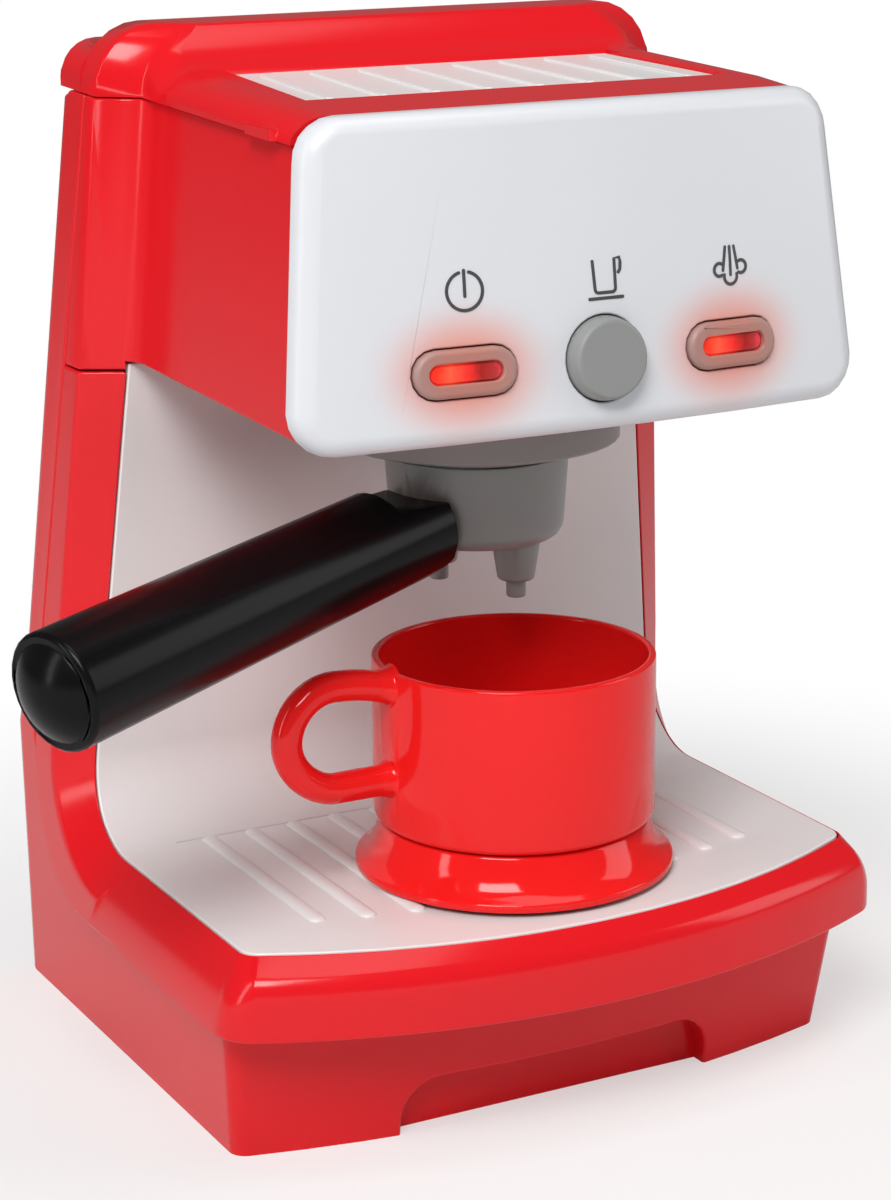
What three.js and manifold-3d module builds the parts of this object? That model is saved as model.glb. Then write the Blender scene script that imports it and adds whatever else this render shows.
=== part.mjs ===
// A toy espresso coffee maker, in millimetres.
// X runs to the right, Y to the back and Z up. The origin is on the floor, under the middle of the base.

import * as THREE from "three";
import { mergeVertices } from "three/addons/utils/BufferGeometryUtils.js";
import Module from "manifold-3d";

const wasm = await Module();
wasm.setup();

// Fits, walls and small common sizes
const GAP = 0.3;
const WALL = 2.5;
const OVERRUN = 6;
const MERGE_DISTANCE = 0.0001;
const UP = new THREE.Vector3(0, 0, 1);

// Column and base of the body, as half-widths and heights
const BODY_HALF = 80;
const BODY_NARROWING = 11.35;
const BODY_TOP_HALF = BODY_HALF - BODY_NARROWING;
const BODY_TAPER_START = 68.4;
const HEAD_SEAM = 155;
const HEAD_HEIGHT = 58;
const LID_SEAM = HEAD_SEAM + HEAD_HEIGHT;
const LID_SEAM_RISE_SHARE = 0.035;

// Side-view curves of the surround: column line, bend and level stretch
const SEAM_CURVE = { topY: 34.8, footY: 50.5, level: 31.6, bend: 27 };
const FLAT_TOP_WIDTH = 8.5;
const FLAT_FOOT_WIDTH = 13.1;
const FLAT_RISE = 7.9;
const CREASE_CURVE = {
  topY: SEAM_CURVE.topY - FLAT_TOP_WIDTH,
  footY: SEAM_CURVE.footY - FLAT_FOOT_WIDTH,
  level: SEAM_CURVE.level + FLAT_RISE,
  bend: 24,
};
const FACET_TOP_DEPTH = 5.3;
const FACET_FOOT_DEPTH = 9.1;
const FACET_RISE = 9.1;
const EDGE_CURVE = {
  topY: CREASE_CURVE.topY - FACET_TOP_DEPTH,
  footY: CREASE_CURVE.footY - FACET_FOOT_DEPTH,
  level: CREASE_CURVE.level + FACET_RISE,
  bend: 18,
};
const BEND_STEPS = 9;
const ROLL_STEPS = 3;
const COLUMN_ROLL_SHARE = 0.12;
const SIDE_ROLL_SHARE = 0.9;
const FRONT_ROLL_SHARE = 0.35;

// Bowed front of the base
const RIM_CORNER_Y = -59;
const RIM_BOW = 19.6;
const RIM_CORNER_RADIUS = 10;
const RIM_CREASE_DROP = 4.8;
const CORNER_STEPS = 5;
const BOW_STEPS = 12;

// White tray and its edge in the surround
const EDGE_INSET = 6.4;
const EDGE_HALF = BODY_HALF - EDGE_INSET;
const EDGE_TOP_INSET = 4.75;
const EDGE_TOP_HALF = BODY_TOP_HALF - EDGE_TOP_INSET;
const EDGE_TAPER_START = 54.2;
const TRAY_SETBACK = 4.2;
const TRAY_CORNER_Y = RIM_CORNER_Y + TRAY_SETBACK;
const TRAY_BOW_LOSS = 0.7;
const TRAY_BOW = RIM_BOW - TRAY_BOW_LOSS;
const TRAY_CORNER_RADIUS = 5;
const TRAY_THICK = 2.5;
const TRAY_LEDGE = 3;
const FLANGE = 8;
const LINER_ENTRY = 1.5;
const LINER_TOP = HEAD_SEAM + LINER_ENTRY;
const RIB_COUNT = 11;
const RIB_PITCH = 10.45;
const RIB_WIDTH = 3.8;
const RIB_RISE = 0.8;
const RIB_FRONT_INSET = 0.6;
const RIB_FRONT_SWEEP = 8;
const RIB_BACK_SETBACK = 15.8;

// Rear shell: tub, back wall and floor
const FLOOR = 2.5;
const TUB_TOP = SEAM_CURVE.level - GAP;
const TUB_INSET = 3.7;
const TUB_DRAFT = 3;
const TUB_TOP_HALF = BODY_HALF - TUB_INSET;
const TUB_LOW_HALF = TUB_TOP_HALF - TUB_DRAFT;
const TUB_SETBACK = 7.8;
const TUB_FRONT_DRAFT = 4.7;
const TUB_TOP_CORNER_Y = RIM_CORNER_Y + TUB_SETBACK;
const TUB_LOW_CORNER_Y = TUB_TOP_CORNER_Y + TUB_FRONT_DRAFT;
const TUB_BOW = 10;
const TUB_CORNER_RADIUS = 4;
const BACK_CORNER_RADIUS = 6;
const BACK_FOOT_Y = 77;
const BACK_KNEE_DEPTH = 20.5;
const BACK_KNEE_Y = BACK_FOOT_Y - BACK_KNEE_DEPTH;
const BACK_KNEE_HEIGHT = 85;
const BACK_LEAN_DEPTH = 12.5;
const BACK_TOP_Y = BACK_KNEE_Y - BACK_LEAN_DEPTH;
const BACK_SEAM_GAP = 1.6;
const TOE_HALF = 38;
const TOE_HEIGHT = 13;
const TOE_DEPTH = 11.2;
const TOE_BACK_Y = TUB_TOP_CORNER_Y - TUB_BOW + TOE_DEPTH;
const TOE_CORNER_RADIUS = 9;

// Screws and the posts they sit in
const SCREW_RADIUS = 1.5;
const SCREW_HEAD_RADIUS = 3.2;
const SCREW_HEAD_HEIGHT = 2;
const POST_RADIUS = 5;
const POST_WEB = 7;
const LUG_RADIUS = 4.5;
const LUG_HEIGHT = 10;
const LUG_FLOOR = 2;
const BASE_POST_INSET = 16;
const BASE_POST_X = BODY_HALF - BASE_POST_INSET;
const BASE_POST_SETBACK = 23;
const BASE_POST_SPACING = 48;
const BASE_POST_Y = RIM_CORNER_Y + BASE_POST_SETBACK;
const BASE_POST_YS = [BASE_POST_Y, BASE_POST_Y + BASE_POST_SPACING];
const HEAD_POST_INSET = 8.65;
const HEAD_POST_X = BODY_TOP_HALF - HEAD_POST_INSET;
const HEAD_POST_DROP = 23;
const HEAD_POST_HEIGHT = LID_SEAM - HEAD_POST_DROP;
const HEAD_LUG_DEPTH = 7;

// Battery bay, door and speaker in the floor
const CELL_RADIUS = 7.2;
const CELL_LENGTH = 50.5;
const BAY_SETBACK = 40;
const BAY_CENTRE_Y = BACK_FOOT_Y - BAY_SETBACK;
const CONTACT_THICK = 0.8;
const CONTACT_HEIGHT = 10;
const BAY_SIDE_ROOM = 2;
const DOOR_LEDGE = 2;
const DOOR_THICK = 2.1;
const DOOR_TONGUE = 8;
const DOOR_RECESS = 0.4;
const DOOR_SCREW_LENGTH = 11;
const DOOR_SCREW_HEAD_HEIGHT = 1;
const SPEAKER_RADIUS = 18;
const SPEAKER_HEIGHT = 9;
const SPEAKER_Y = -27;
const SPEAKER_CORE_SHARE = 0.45;
const GRILLE_COUNT = 5;
const GRILLE_PITCH = 5;
const GRILLE_WIDTH = 2;
const GRILLE_LENGTH = 22;

// Front panel, in its own leaning frame: y 0 is its back rim, z 0 its lower edge
const PANEL_BASE_Y = -63.32;
const PANEL_OVERHANG = 3.43;
const PANEL_BASE_HEIGHT = HEAD_SEAM - PANEL_OVERHANG;
const PANEL_LEAN = THREE.MathUtils.degToRad(5.64);
const PANEL_STAND = 3.67;
const PANEL_HEIGHT = PANEL_OVERHANG + HEAD_HEIGHT + PANEL_STAND;
const PANEL_LOW_HALF = 66;
const PANEL_NARROWING = 6.3;
const PANEL_TOP_HALF = PANEL_LOW_HALF - PANEL_NARROWING;
const PANEL_EDGE_DEPTH = 4.4;
const PANEL_BULGE = 6.5;
const PANEL_CORNER = 9;
const PANEL_ROUNDING = 4;
const PANEL_ROUNDING_STEPS = 4;
const PANEL_INNER_ROUNDING = 2;
const PANEL_EDGE_STEPS = 10;

// Head shell
const HEAD_PANEL_INSET = 3.5;
const HEAD_LOW_HALF = PANEL_LOW_HALF - HEAD_PANEL_INSET;
const HEAD_NARROWING = 4;
const HEAD_TOP_HALF = HEAD_LOW_HALF - HEAD_NARROWING;
const HEAD_FLOOR_RISE = 2;
const HEAD_FLOOR_BACK = HEAD_SEAM + HEAD_FLOOR_RISE;
const HEAD_FLOOR_LAP = 2;
const HEAD_FLOOR_BACK_Y = EDGE_CURVE.topY - HEAD_FLOOR_LAP;
const HEAD_FLOOR_FALL = 2.5;
const HEAD_FLOOR_FRONT = HEAD_FLOOR_BACK - HEAD_FLOOR_FALL;
const HEAD_FLOOR_LENGTH = 76;
const HEAD_FLOOR_FRONT_Y = HEAD_FLOOR_BACK_Y - HEAD_FLOOR_LENGTH;
const HEAD_FILLET = 8;
const FACET_SLOPE_SHARE = 0.57;
const HEAD_CREASE_LEAN = 3.7;
const HEAD_TOP_CREASE_Y = CREASE_CURVE.topY - HEAD_CREASE_LEAN;
const HEAD_SEAM_LEAN = 6.6;
const HEAD_TOP_SEAM_Y = SEAM_CURVE.topY - HEAD_SEAM_LEAN;

// Lid, its arch and its hinge; each rise is measured from the lid's seam
const LID_PANEL_GAP = 0.72;
const LID_FRONT_Y = PANEL_BASE_Y + PANEL_HEIGHT * Math.sin(PANEL_LEAN) + LID_PANEL_GAP;
const LID_OVERLAP = 1.5;
const LID_HALF = HEAD_TOP_HALF + LID_OVERLAP;
const LID_FRONT_RISE = 3.3;
const LID_FRONT_TOP = LID_SEAM + LID_FRONT_RISE;
const LID_EDGE_RISE = 4.6;
const LID_EDGE_TOP = LID_SEAM + LID_EDGE_RISE;
const LID_EDGE_SETBACK = 14.2;
const LID_EDGE_Y = LID_FRONT_Y + LID_EDGE_SETBACK;
const LID_BACK_RISE = 6.4;
const LID_BACK_TOP = LID_SEAM + LID_BACK_RISE;
const LID_TAIL_REACH = 0.4;
const LID_TAIL_Y = BACK_TOP_Y + LID_TAIL_REACH;
const LID_TAIL_RISE = 11.5;
const LID_TAIL_TOP = LID_SEAM + LID_TAIL_RISE;
const LID_TAIL_CHAMFER = 2;
const LID_CORNER = 8;
const LID_ROLL_ACROSS = 9;
const LID_ROLL_DOWN = 5;
const LID_ROLL_STEPS = 6;
const LID_DECK = 4.4;
const ARCH_TAIL_SETBACK = 13.5;
const ARCH_BACK_Y = LID_TAIL_Y - ARCH_TAIL_SETBACK;
const ARCH_BAND = 8.5;
const ARCH_SIDE_Y = ARCH_BACK_Y - ARCH_BAND;
const ARCH_FACET = 5;
const ARCH_FRONT_Y = ARCH_SIDE_Y - ARCH_FACET;
const ARCH_FOOT_LENGTH = 3.4;
const ARCH_MID_Y = ARCH_FRONT_Y - ARCH_FOOT_LENGTH;
const ARCH_TOE_LENGTH = 4;
const ARCH_LOW_Y = ARCH_MID_Y - ARCH_TOE_LENGTH;
const ARCH_APPROACH = 6;
const LID_BACK_Y = ARCH_LOW_Y - ARCH_APPROACH;
const ARCH_LOW_RISE = 7.8;
const ARCH_LOW_TOP = LID_SEAM + ARCH_LOW_RISE;
const ARCH_MID_RISE = 10.7;
const ARCH_MID_TOP = LID_SEAM + ARCH_MID_RISE;
const ARCH_RISE = 15.6;
const ARCH_TOP = LID_SEAM + ARCH_RISE;
const ARCH_INSET = 0.35;
const ARCH_HALF = BODY_TOP_HALF - ARCH_INSET;
const ARCH_CORNER = 14;
const LIP_REACH = 1.3;
const LIP_HEIGHT = 2.2;
const LIP_LENGTH = 13;
const LIP_SETBACK = 6;
const HINGE_SETBACK = 3;
const HINGE_Y = LID_TAIL_Y - HINGE_SETBACK;
const HINGE_RISE = 4.4;
const HINGE_HEIGHT = LID_SEAM + HINGE_RISE;
const EAR_RADIUS = 2.6;
const EAR_WIDTH = 4.6;
const EAR_INSET = 10.3;
const EAR_X = ARCH_HALF - EAR_INSET;
const EAR_LENGTH = 17.4;
const EAR_FOOT = HINGE_HEIGHT - EAR_LENGTH;
const CHEEK_WIDTH = 2.4;
const CHEEK_REACH = 4.4;
const CHEEK_Y = HINGE_Y - CHEEK_REACH;
const HINGE_PIN_RADIUS = 1.2;

// Cup plate in the lid
const PLATE_MARGIN = 10.9;
const PLATE_FRONT_HALF = LID_HALF - PLATE_MARGIN;
const PLATE_NARROWING = 3.3;
const PLATE_BACK_HALF = PLATE_FRONT_HALF - PLATE_NARROWING;
const PLATE_SETBACK = 1.2;
const PLATE_FRONT_Y = LID_EDGE_Y + PLATE_SETBACK;
const PLATE_BACK_Y = LID_BACK_Y;
const PLATE_SINK = 0.8;
const PLATE_FRONT_TOP = LID_EDGE_TOP - PLATE_SINK;
const PLATE_BACK_TOP = LID_BACK_TOP - PLATE_SINK;
const PLATE_THICK = 1.6;
const PLATE_RIB_COUNT = 8;
const PLATE_RIB_WIDTH = 1.6;
const PLATE_RIB_RISE = 0.5;
const PLATE_RIB_END = 4;
const PLATE_RIB_SPREAD_SHARE = 0.86;

// Water tank
const TANK_MARGIN = 14.5;
const TANK_HALF = HEAD_TOP_HALF - TANK_MARGIN;
const TANK_FRONT_Y = -32;
const TANK_LENGTH = 52;
const TANK_BACK_Y = TANK_FRONT_Y + TANK_LENGTH;
const TANK_RISE = 8;
const TANK_LOW = HEAD_FLOOR_BACK + TANK_RISE;
const TANK_HEIGHT_LOSS = 5;
const TANK_TOP = LID_SEAM - TANK_HEIGHT_LOSS;
const TANK_WALL = 1.8;
const TANK_CORNER = 6;

// Buttons and what lies behind them
const BUTTON_ROW = 14.45;
const BUTTON_SPACING = 30.66;
const OBLONG_HALF = 11;
const OBLONG_RADIUS = 4.8;
const OBLONG_PROUD = 1.2;
const OBLONG_CHAMFER = 0.8;
const BUTTON_LIP = 1.5;
const BUTTON_LIP_THICK = 1.2;
const BUTTON_SKIN = 1.6;
const LENS_MARGIN = 3.4;
const LENS_HALF = OBLONG_HALF - LENS_MARGIN;
const LENS_RADIUS = 1.75;
const LENS_SINK = 0.8;
const LENS_LIP = 1;
const ROUND_RADIUS = 8.5;
const ROUND_DRAFT = 0.5;
const ROUND_PROUD = 3.5;
const ROUND_EDGE = 0.5;
const BOARD_SETBACK = 3.7;
const BOARD_THICK = 1.6;
const BOARD_HALF = 52;
const BOARD_MARGIN = 6.95;
const BOARD_LOW = BUTTON_ROW - BOARD_MARGIN;
const BOARD_HEIGHT = 28.5;
const BOARD_HIGH = BOARD_LOW + BOARD_HEIGHT;
const BOARD_POST_INSET = 3.5;
const BOARD_POST_X = BOARD_HALF - BOARD_POST_INSET;
const BOARD_POST_RADIUS = 3;
const BOARD_SCREW_LENGTH = 8;
const SWITCH_SIZE = 7;
const SWITCH_FRONT = 1.6;
const SWITCH_BORE_DEPTH = 4.2;
const PLUNGER_RADIUS = 1.5;
const PLUNGER_ENTRY = 0.5;
const PLUNGER_CLEARANCE = 0.4;
const PLUNGER_INSET = 0.1;
const PLUNGER_OFFSET = OBLONG_HALF - PLUNGER_INSET;
const LED_RADIUS = 2.5;
const LED_LENGTH = 6.5;

// Brew head and filter holder
const BREW_Y = -19.1;
const DRUM_RADIUS = 31;
const DRUM_DROP = 13.5;
const DRUM_LOW = HEAD_SEAM - DRUM_DROP;
const DRUM_CONE_HEIGHT = 2.8;
const DRUM_LIP_LOW = DRUM_LOW - DRUM_CONE_HEIGHT;
const BASKET_TOP_RADIUS = 20;
const DRUM_LIP = 0.4;
const DRUM_LIP_RADIUS = BASKET_TOP_RADIUS + DRUM_LIP;
const DRUM_BORE = 17.5;
const DRUM_BORE_RISE = 8.5;
const DRUM_BORE_TOP = DRUM_LOW + DRUM_BORE_RISE;
const SPIGOT_RADIUS = DRUM_BORE + WALL;
const BASKET_HEIGHT = 18.9;
const BASKET_TOP = DRUM_LIP_LOW - GAP;
const BASKET_LOW = BASKET_TOP - BASKET_HEIGHT;
const BASKET_DRAFT = 1.1;
const BASKET_LOW_RADIUS = BASKET_TOP_RADIUS - BASKET_DRAFT;
const BASKET_ROUNDING = 3.5;
const COLLAR_CLEARANCE = 0.6;
const COLLAR_RADIUS = DRUM_BORE - COLLAR_CLEARANCE;
const COLLAR_HEIGHT = 6.3;
const COLLAR_TOP = DRUM_LIP_LOW + COLLAR_HEIGHT;
const COLLAR_WALL = 2;
const LUG_STAND = 1.9;
const LUG_REACH = COLLAR_RADIUS + LUG_STAND;
const LUG_HALF = 4;
const BAYONET_RISE = 3;
const BAYONET_LOW = DRUM_LIP_LOW + BAYONET_RISE;
const BAYONET_THICK = 2.4;
const BAYONET_CLEARANCE = 0.8;
const BAYONET_GROOVE = LUG_REACH + BAYONET_CLEARANCE;
const NOZZLE_REACH = 11.4;
const NOZZLE_TURN = THREE.MathUtils.degToRad(19);
const NOZZLE_RADIUS = 5.25;
const NOZZLE_NARROWING = 1.25;
const NOZZLE_NECK_RADIUS = NOZZLE_RADIUS - NOZZLE_NARROWING;
const NOZZLE_LENGTH = 8;
const NOZZLE_NECK = BASKET_LOW - NOZZLE_LENGTH;
const TIP_RADIUS = 2.15;
const TIP_LENGTH = 4;
const TIP_LOW = NOZZLE_NECK - TIP_LENGTH;
const TIP_WALL = 1.05;
const TIP_HOLE_RADIUS = TIP_RADIUS - TIP_WALL;
const TIP_HOLE_DEPTH = 4;

// Handle of the filter holder, along its own axis from the middle of the basket
const HANDLE_RISE = 8.17;
const HANDLE_HEIGHT = BASKET_LOW + HANDLE_RISE;
const HANDLE_TURN = THREE.MathUtils.degToRad(70.5);
const HANDLE_DIP = THREE.MathUtils.degToRad(7.75);
const HANDLE_ROOT = 18;
const HANDLE_ROOT_RADIUS = 11;
const HANDLE_NECK = 30;
const HANDLE_NECK_RADIUS = 11.24;
const HANDLE_END = 120.6;
const HANDLE_END_RADIUS = 12.33;
const HANDLE_RIM = 1.3;
const HANDLE_RIM_STEPS = 3;
const HANDLE_BORE_START = 62;
const HANDLE_BORE_RADIUS = 8.8;
const TANG_START = 16;
const TANG_END = 46;
const TANG_RADIUS = 5;
const HANDLE_SCREW_BITE = 8;
const SCOOP_REACH = 13;
const SCOOP_RADIUS = BASKET_TOP_RADIUS + SCOOP_REACH;
const SCOOP_DROP = 7.2;
const SCOOP_HEIGHT = BASKET_TOP - SCOOP_DROP;
const CAP_PLUG_LENGTH = 8;
const CAP_SEAT_DEPTH = 1.6;
const CAP_GROOVE = 0.6;
const CAP_RADIUS = 10.4;
const CAP_RIM = 1.2;
const CAP_DOME = 4.4;
const CAP_STEPS = 6;

// Cup and saucer
const CUP_X = 0.64;
const CUP_Y = -34.15;
const CUP_STAND = 12;
const CUP_LOW = EDGE_CURVE.level + CUP_STAND;
const CUP_ROOM = 10.8;
const CUP_TOP = TIP_LOW - CUP_ROOM;
const CUP_HEIGHT = CUP_TOP - CUP_LOW;
const CUP_RADIUS = 30.7;
const CUP_WALL = 1.7;
const CUP_FLOOR = 2;
const CUP_FOOT_INSET = 5.2;
const CUP_FOOT_RADIUS = CUP_RADIUS - CUP_FOOT_INSET;
const CUP_FOOT = 2.2;
const CUP_EDGE = 1.5;
const LOOP_HEIGHT_SHARE = 0.645;
const LOOP_SPAN_SHARE = 0.31;
const LOOP_STAND = 12.34;
const LOOP_CENTRE_X = CUP_X - CUP_RADIUS - LOOP_STAND;
const LOOP_CENTRE_HEIGHT = CUP_LOW + CUP_HEIGHT * LOOP_HEIGHT_SHARE;
const LOOP_RADIUS = CUP_HEIGHT * LOOP_SPAN_SHARE;
const LOOP_SECTION_SHARE = 0.3;
const LOOP_SECTION = LOOP_RADIUS * LOOP_SECTION_SHARE;
const LOOP_FALL = 1.8;
const SAUCER_MARGIN = 4.1;
const SAUCER_RADIUS = CUP_RADIUS + SAUCER_MARGIN;
const SAUCER_LIP = 1.6;
const SAUCER_DROP = 0.4;
const SAUCER_TOP = CUP_LOW - SAUCER_DROP;
const SAUCER_RIM = 3.8;
const SAUCER_TOP_RADIUS = CUP_FOOT_RADIUS + SAUCER_RIM;
const SAUCER_WALL = 1.6;
const SAUCER_CURVE_SHARES = [[0.26, 0.12], [0.5, 0.27], [0.73, 0.52]];

// Materials
const paint = (color, roughness) => new THREE.MeshStandardMaterial({ color, roughness, metalness: 0 });
const redPlastic = () => paint(0xe01c24, 0.25);
const whitePlastic = () => paint(0xe1dedd, 0.35);
const greyPlastic = () => paint(0x86888a, 0.5);
const blackPlastic = () => paint(0x141416, 0.4);
const darkPlastic = () => paint(0x2a2a2c, 0.6);
const cupPlastic = () => paint(0xee2d22, 0.15);
const lensPlastic = () => paint(0xf03228, 0.1);
const tankPlastic = () => paint(0xd9e2e6, 0.1);
const boardLaminate = () => paint(0x1f5c34, 0.5);
const steel = () => new THREE.MeshStandardMaterial({ color: 0xb4b4b8, roughness: 0.35, metalness: 1 });

const part = new THREE.Group();

// Solids from geometry

function solid(geometry, matrix = new THREE.Matrix4()) {
  const bare = geometry.index ? geometry.toNonIndexed() : geometry.clone();
  bare.deleteAttribute("normal");
  bare.deleteAttribute("uv");
  bare.applyMatrix4(matrix);
  const merged = mergeVertices(bare, MERGE_DISTANCE);
  const vertProperties = merged.attributes.position.array;
  const triVerts = new Uint32Array(merged.index.array);
  const make = () => new wasm.Manifold(new wasm.Mesh({ numProp: 3, vertProperties, triVerts }));
  const made = make();
  if (made.volume() > 0) return made;
  for (let i = 0; i < triVerts.length; i += 3) {
    [triVerts[i + 1], triVerts[i + 2]] = [triVerts[i + 2], triVerts[i + 1]];
  }
  return make();
}

const join = (first, ...others) => others.reduce((sum, next) => sum.add(next), first);
const cut = (first, ...others) => others.reduce((rest, next) => rest.subtract(next), first);
const overlap = (first, ...others) => others.reduce((common, next) => common.intersect(next), first);

function addPiece(group, name, body, material) {
  const mesh = body.getMesh();
  const geometry = new THREE.BufferGeometry();
  geometry.setAttribute("position", new THREE.BufferAttribute(mesh.vertProperties, 3));
  geometry.setIndex(new THREE.BufferAttribute(mesh.triVerts, 1));
  geometry.computeVertexNormals();
  const piece = new THREE.Mesh(geometry, material);
  piece.name = name;
  group.add(piece);
}

// Basic forms, each given by its corners or its outline

function block(x0, x1, y0, y1, z0, z1) {
  const geometry = new THREE.BoxGeometry(x1 - x0, y1 - y0, z1 - z0);
  return geometry.translate((x0 + x1) / 2, (y0 + y1) / 2, (z0 + z1) / 2);
}

function extruded(points, depth) {
  const shape = new THREE.Shape(points.map(([u, v]) => new THREE.Vector2(u, v)));
  return new THREE.ExtrudeGeometry(shape, { depth, bevelEnabled: false });
}

const alongZ = (points, from, to) => extruded(points, to - from).translate(0, 0, from);

function alongX(points, from, to) {
  return extruded(points, to - from).rotateX(Math.PI / 2).rotateZ(Math.PI / 2).translate(from, 0, 0);
}

function alongY(points, from, to) {
  return extruded(points, to - from).rotateX(Math.PI / 2).translate(0, to, 0);
}

function turned(profile, steps, x = 0, y = 0) {
  const points = profile.map(([radius, height]) => new THREE.Vector2(radius, height));
  return new THREE.LatheGeometry(points, steps).rotateX(Math.PI / 2).translate(x, y, 0);
}

function rod(radius, from, to, steps, x = 0, y = 0) {
  return turned([[0, from], [radius, from], [radius, to], [0, to]], steps, x, y);
}

// A rod or a turned form whose axis points to the front, its profile read as distance forward
const facingFront = (geometry, x, z) => geometry.rotateX(Math.PI / 2).translate(x, 0, z);

function arc(centreU, centreV, radius, from, to, steps) {
  return Array.from({ length: steps + 1 }, (_, i) => {
    const angle = from + ((to - from) * i) / steps;
    return [centreU + radius * Math.cos(angle), centreV + radius * Math.sin(angle)];
  });
}

function stadium(half, radius, steps = 8) {
  const reach = half - radius;
  return [
    ...arc(reach, 0, radius, -Math.PI / 2, Math.PI / 2, steps),
    ...arc(-reach, 0, radius, Math.PI / 2, (3 * Math.PI) / 2, steps),
  ];
}

function roundedBox(u0, u1, v0, v1, radius, steps = 3) {
  return [
    ...arc(u1 - radius, v0 + radius, radius, -Math.PI / 2, 0, steps),
    ...arc(u1 - radius, v1 - radius, radius, 0, Math.PI / 2, steps),
    ...arc(u0 + radius, v1 - radius, radius, Math.PI / 2, Math.PI, steps),
    ...arc(u0 + radius, v0 + radius, radius, Math.PI, (3 * Math.PI) / 2, steps),
  ];
}

// A skin over rings of equal length, closed at both ends
function loft(rings, lastCap = capFaces(rings.at(-1))) {
  const count = rings[0].length;
  const corners = rings.flat();
  const faces = [];
  for (let level = 0; level + 1 < rings.length; level += 1) {
    for (let i = 0; i < count; i += 1) {
      const a = level * count + i;
      const b = level * count + ((i + 1) % count);
      faces.push(a, b, b + count, a, b + count, a + count);
    }
  }
  const last = corners.length - count;
  faces.push(...capFaces(rings[0]).flatMap(([a, b, c]) => [a, c, b]));
  faces.push(...lastCap.flatMap(([a, b, c]) => [a + last, b + last, c + last]));
  const geometry = new THREE.BufferGeometry();
  const values = faces.flatMap((i) => corners[i].toArray());
  geometry.setAttribute("position", new THREE.BufferAttribute(new Float32Array(values), 3));
  return geometry;
}

// Triangles across a ring, all turning the same way as the ring
function capFaces(ring) {
  const normal = new THREE.Vector3();
  ring.forEach((corner, i) => normal.add(corner.clone().cross(ring[(i + 1) % ring.length])));
  normal.normalize();
  const side = Math.abs(normal.z) < Math.abs(normal.x) ? UP : new THREE.Vector3(1, 0, 0);
  const u = side.clone().cross(normal).normalize();
  const v = normal.clone().cross(u);
  const flat = ring.map((corner) => new THREE.Vector2(corner.dot(u), corner.dot(v)));
  return THREE.ShapeUtils.triangulateShape(flat, []).map(([a, b, c]) => {
    const ab = flat[b].clone().sub(flat[a]);
    const ac = flat[c].clone().sub(flat[a]);
    return ab.cross(ac) > 0 ? [a, b, c] : [a, c, b];
  });
}

// Triangles across a ring in strips, each from a point to its partner counted back from the ring's end
function stripFaces(count) {
  return Array.from({ length: count / 2 - 1 }, (_, i) => [
    [i, i + 1, count - 2 - i],
    [i, count - 2 - i, count - 1 - i],
  ]).flat();
}

// Half-widths of the body and of the white edge at a height

function tapered(low, high, start, end, height) {
  const share = Math.max(0, (height - start) / (end - start));
  return low + (high - low) * share;
}

const bodyHalf = (height) => tapered(BODY_HALF, BODY_TOP_HALF, BODY_TAPER_START, LID_SEAM, height);
const edgeHalf = (height) => tapered(EDGE_HALF, EDGE_TOP_HALF, EDGE_TAPER_START, HEAD_SEAM, height);
const lidSeam = (y) => LID_SEAM + LID_SEAM_RISE_SHARE * y;

// One side-view curve from its top down to the level stretch, as points with forward normals
function bentLine({ topY, footY, level, bend }, topHeight, shift = 0) {
  const foot = new THREE.Vector2(footY, level);
  const rise = new THREE.Vector2(topY - footY, HEAD_SEAM - level).normalize();
  const normal = new THREE.Vector2(-rise.y, rise.x);
  const reach = bend / Math.tan(Math.acos(-rise.x) / 2);
  const start = foot.clone().addScaledVector(rise, reach);
  const centre = start.clone().addScaledVector(normal, bend);
  const top = foot.clone().addScaledVector(rise, (topHeight - level) / rise.y);
  const stations = [{ at: top, normal }];
  const from = Math.PI + Math.atan2(-normal.y, -normal.x);
  for (let i = 0; i <= BEND_STEPS; i += 1) {
    const angle = from + ((Math.PI / 2 - from) * i) / BEND_STEPS;
    const outward = new THREE.Vector2(Math.cos(angle), Math.sin(angle));
    stations.push({ at: centre.clone().addScaledVector(outward, -bend), normal: outward });
  }
  return stations.map((station) => ({
    at: station.at.clone().addScaledVector(station.normal, shift),
    normal: station.normal,
  }));
}

// Front of the base seen from above: left corner, bow and right corner
function bowedFront(half, cornerY, bow, radius) {
  const bowRadius = (half * half + bow * bow) / (2 * bow);
  const bowCentre = cornerY - bow + bowRadius;
  const inner = half - radius;
  const turn = Math.asin(inner / (bowRadius - radius));
  const cornerCentre = bowCentre - (bowRadius - radius) * Math.cos(turn);
  const down = (3 * Math.PI) / 2;
  return [
    ...arc(-inner, cornerCentre, radius, Math.PI, down - turn, CORNER_STEPS),
    ...arc(0, bowCentre, bowRadius, down - turn, down + turn, BOW_STEPS).slice(1, -1),
    ...arc(inner, cornerCentre, radius, down + turn, 2 * Math.PI, CORNER_STEPS),
  ];
}

// Screws, along Z from the head up; their holes are wider by the gap

function screwForm(headLow, headHeight, tip, x, y) {
  const shoulder = headLow + headHeight;
  const profile = [
    [0, headLow], [SCREW_HEAD_RADIUS, headLow], [SCREW_HEAD_RADIUS, shoulder],
    [SCREW_RADIUS, shoulder], [SCREW_RADIUS, tip], [0, tip],
  ];
  return turned(profile, 12, x, y);
}

const screwHole = (from, to, x, y) => rod(SCREW_RADIUS + GAP, from, to, 12, x, y);
const headHole = (from, to, x, y) => rod(SCREW_HEAD_RADIUS + GAP, from, to, 16, x, y);
const basePosts = BASE_POST_YS.flatMap((y) => [[-BASE_POST_X, y], [BASE_POST_X, y]]);
const postPocket = TUB_TOP - POST_WEB;

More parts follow.
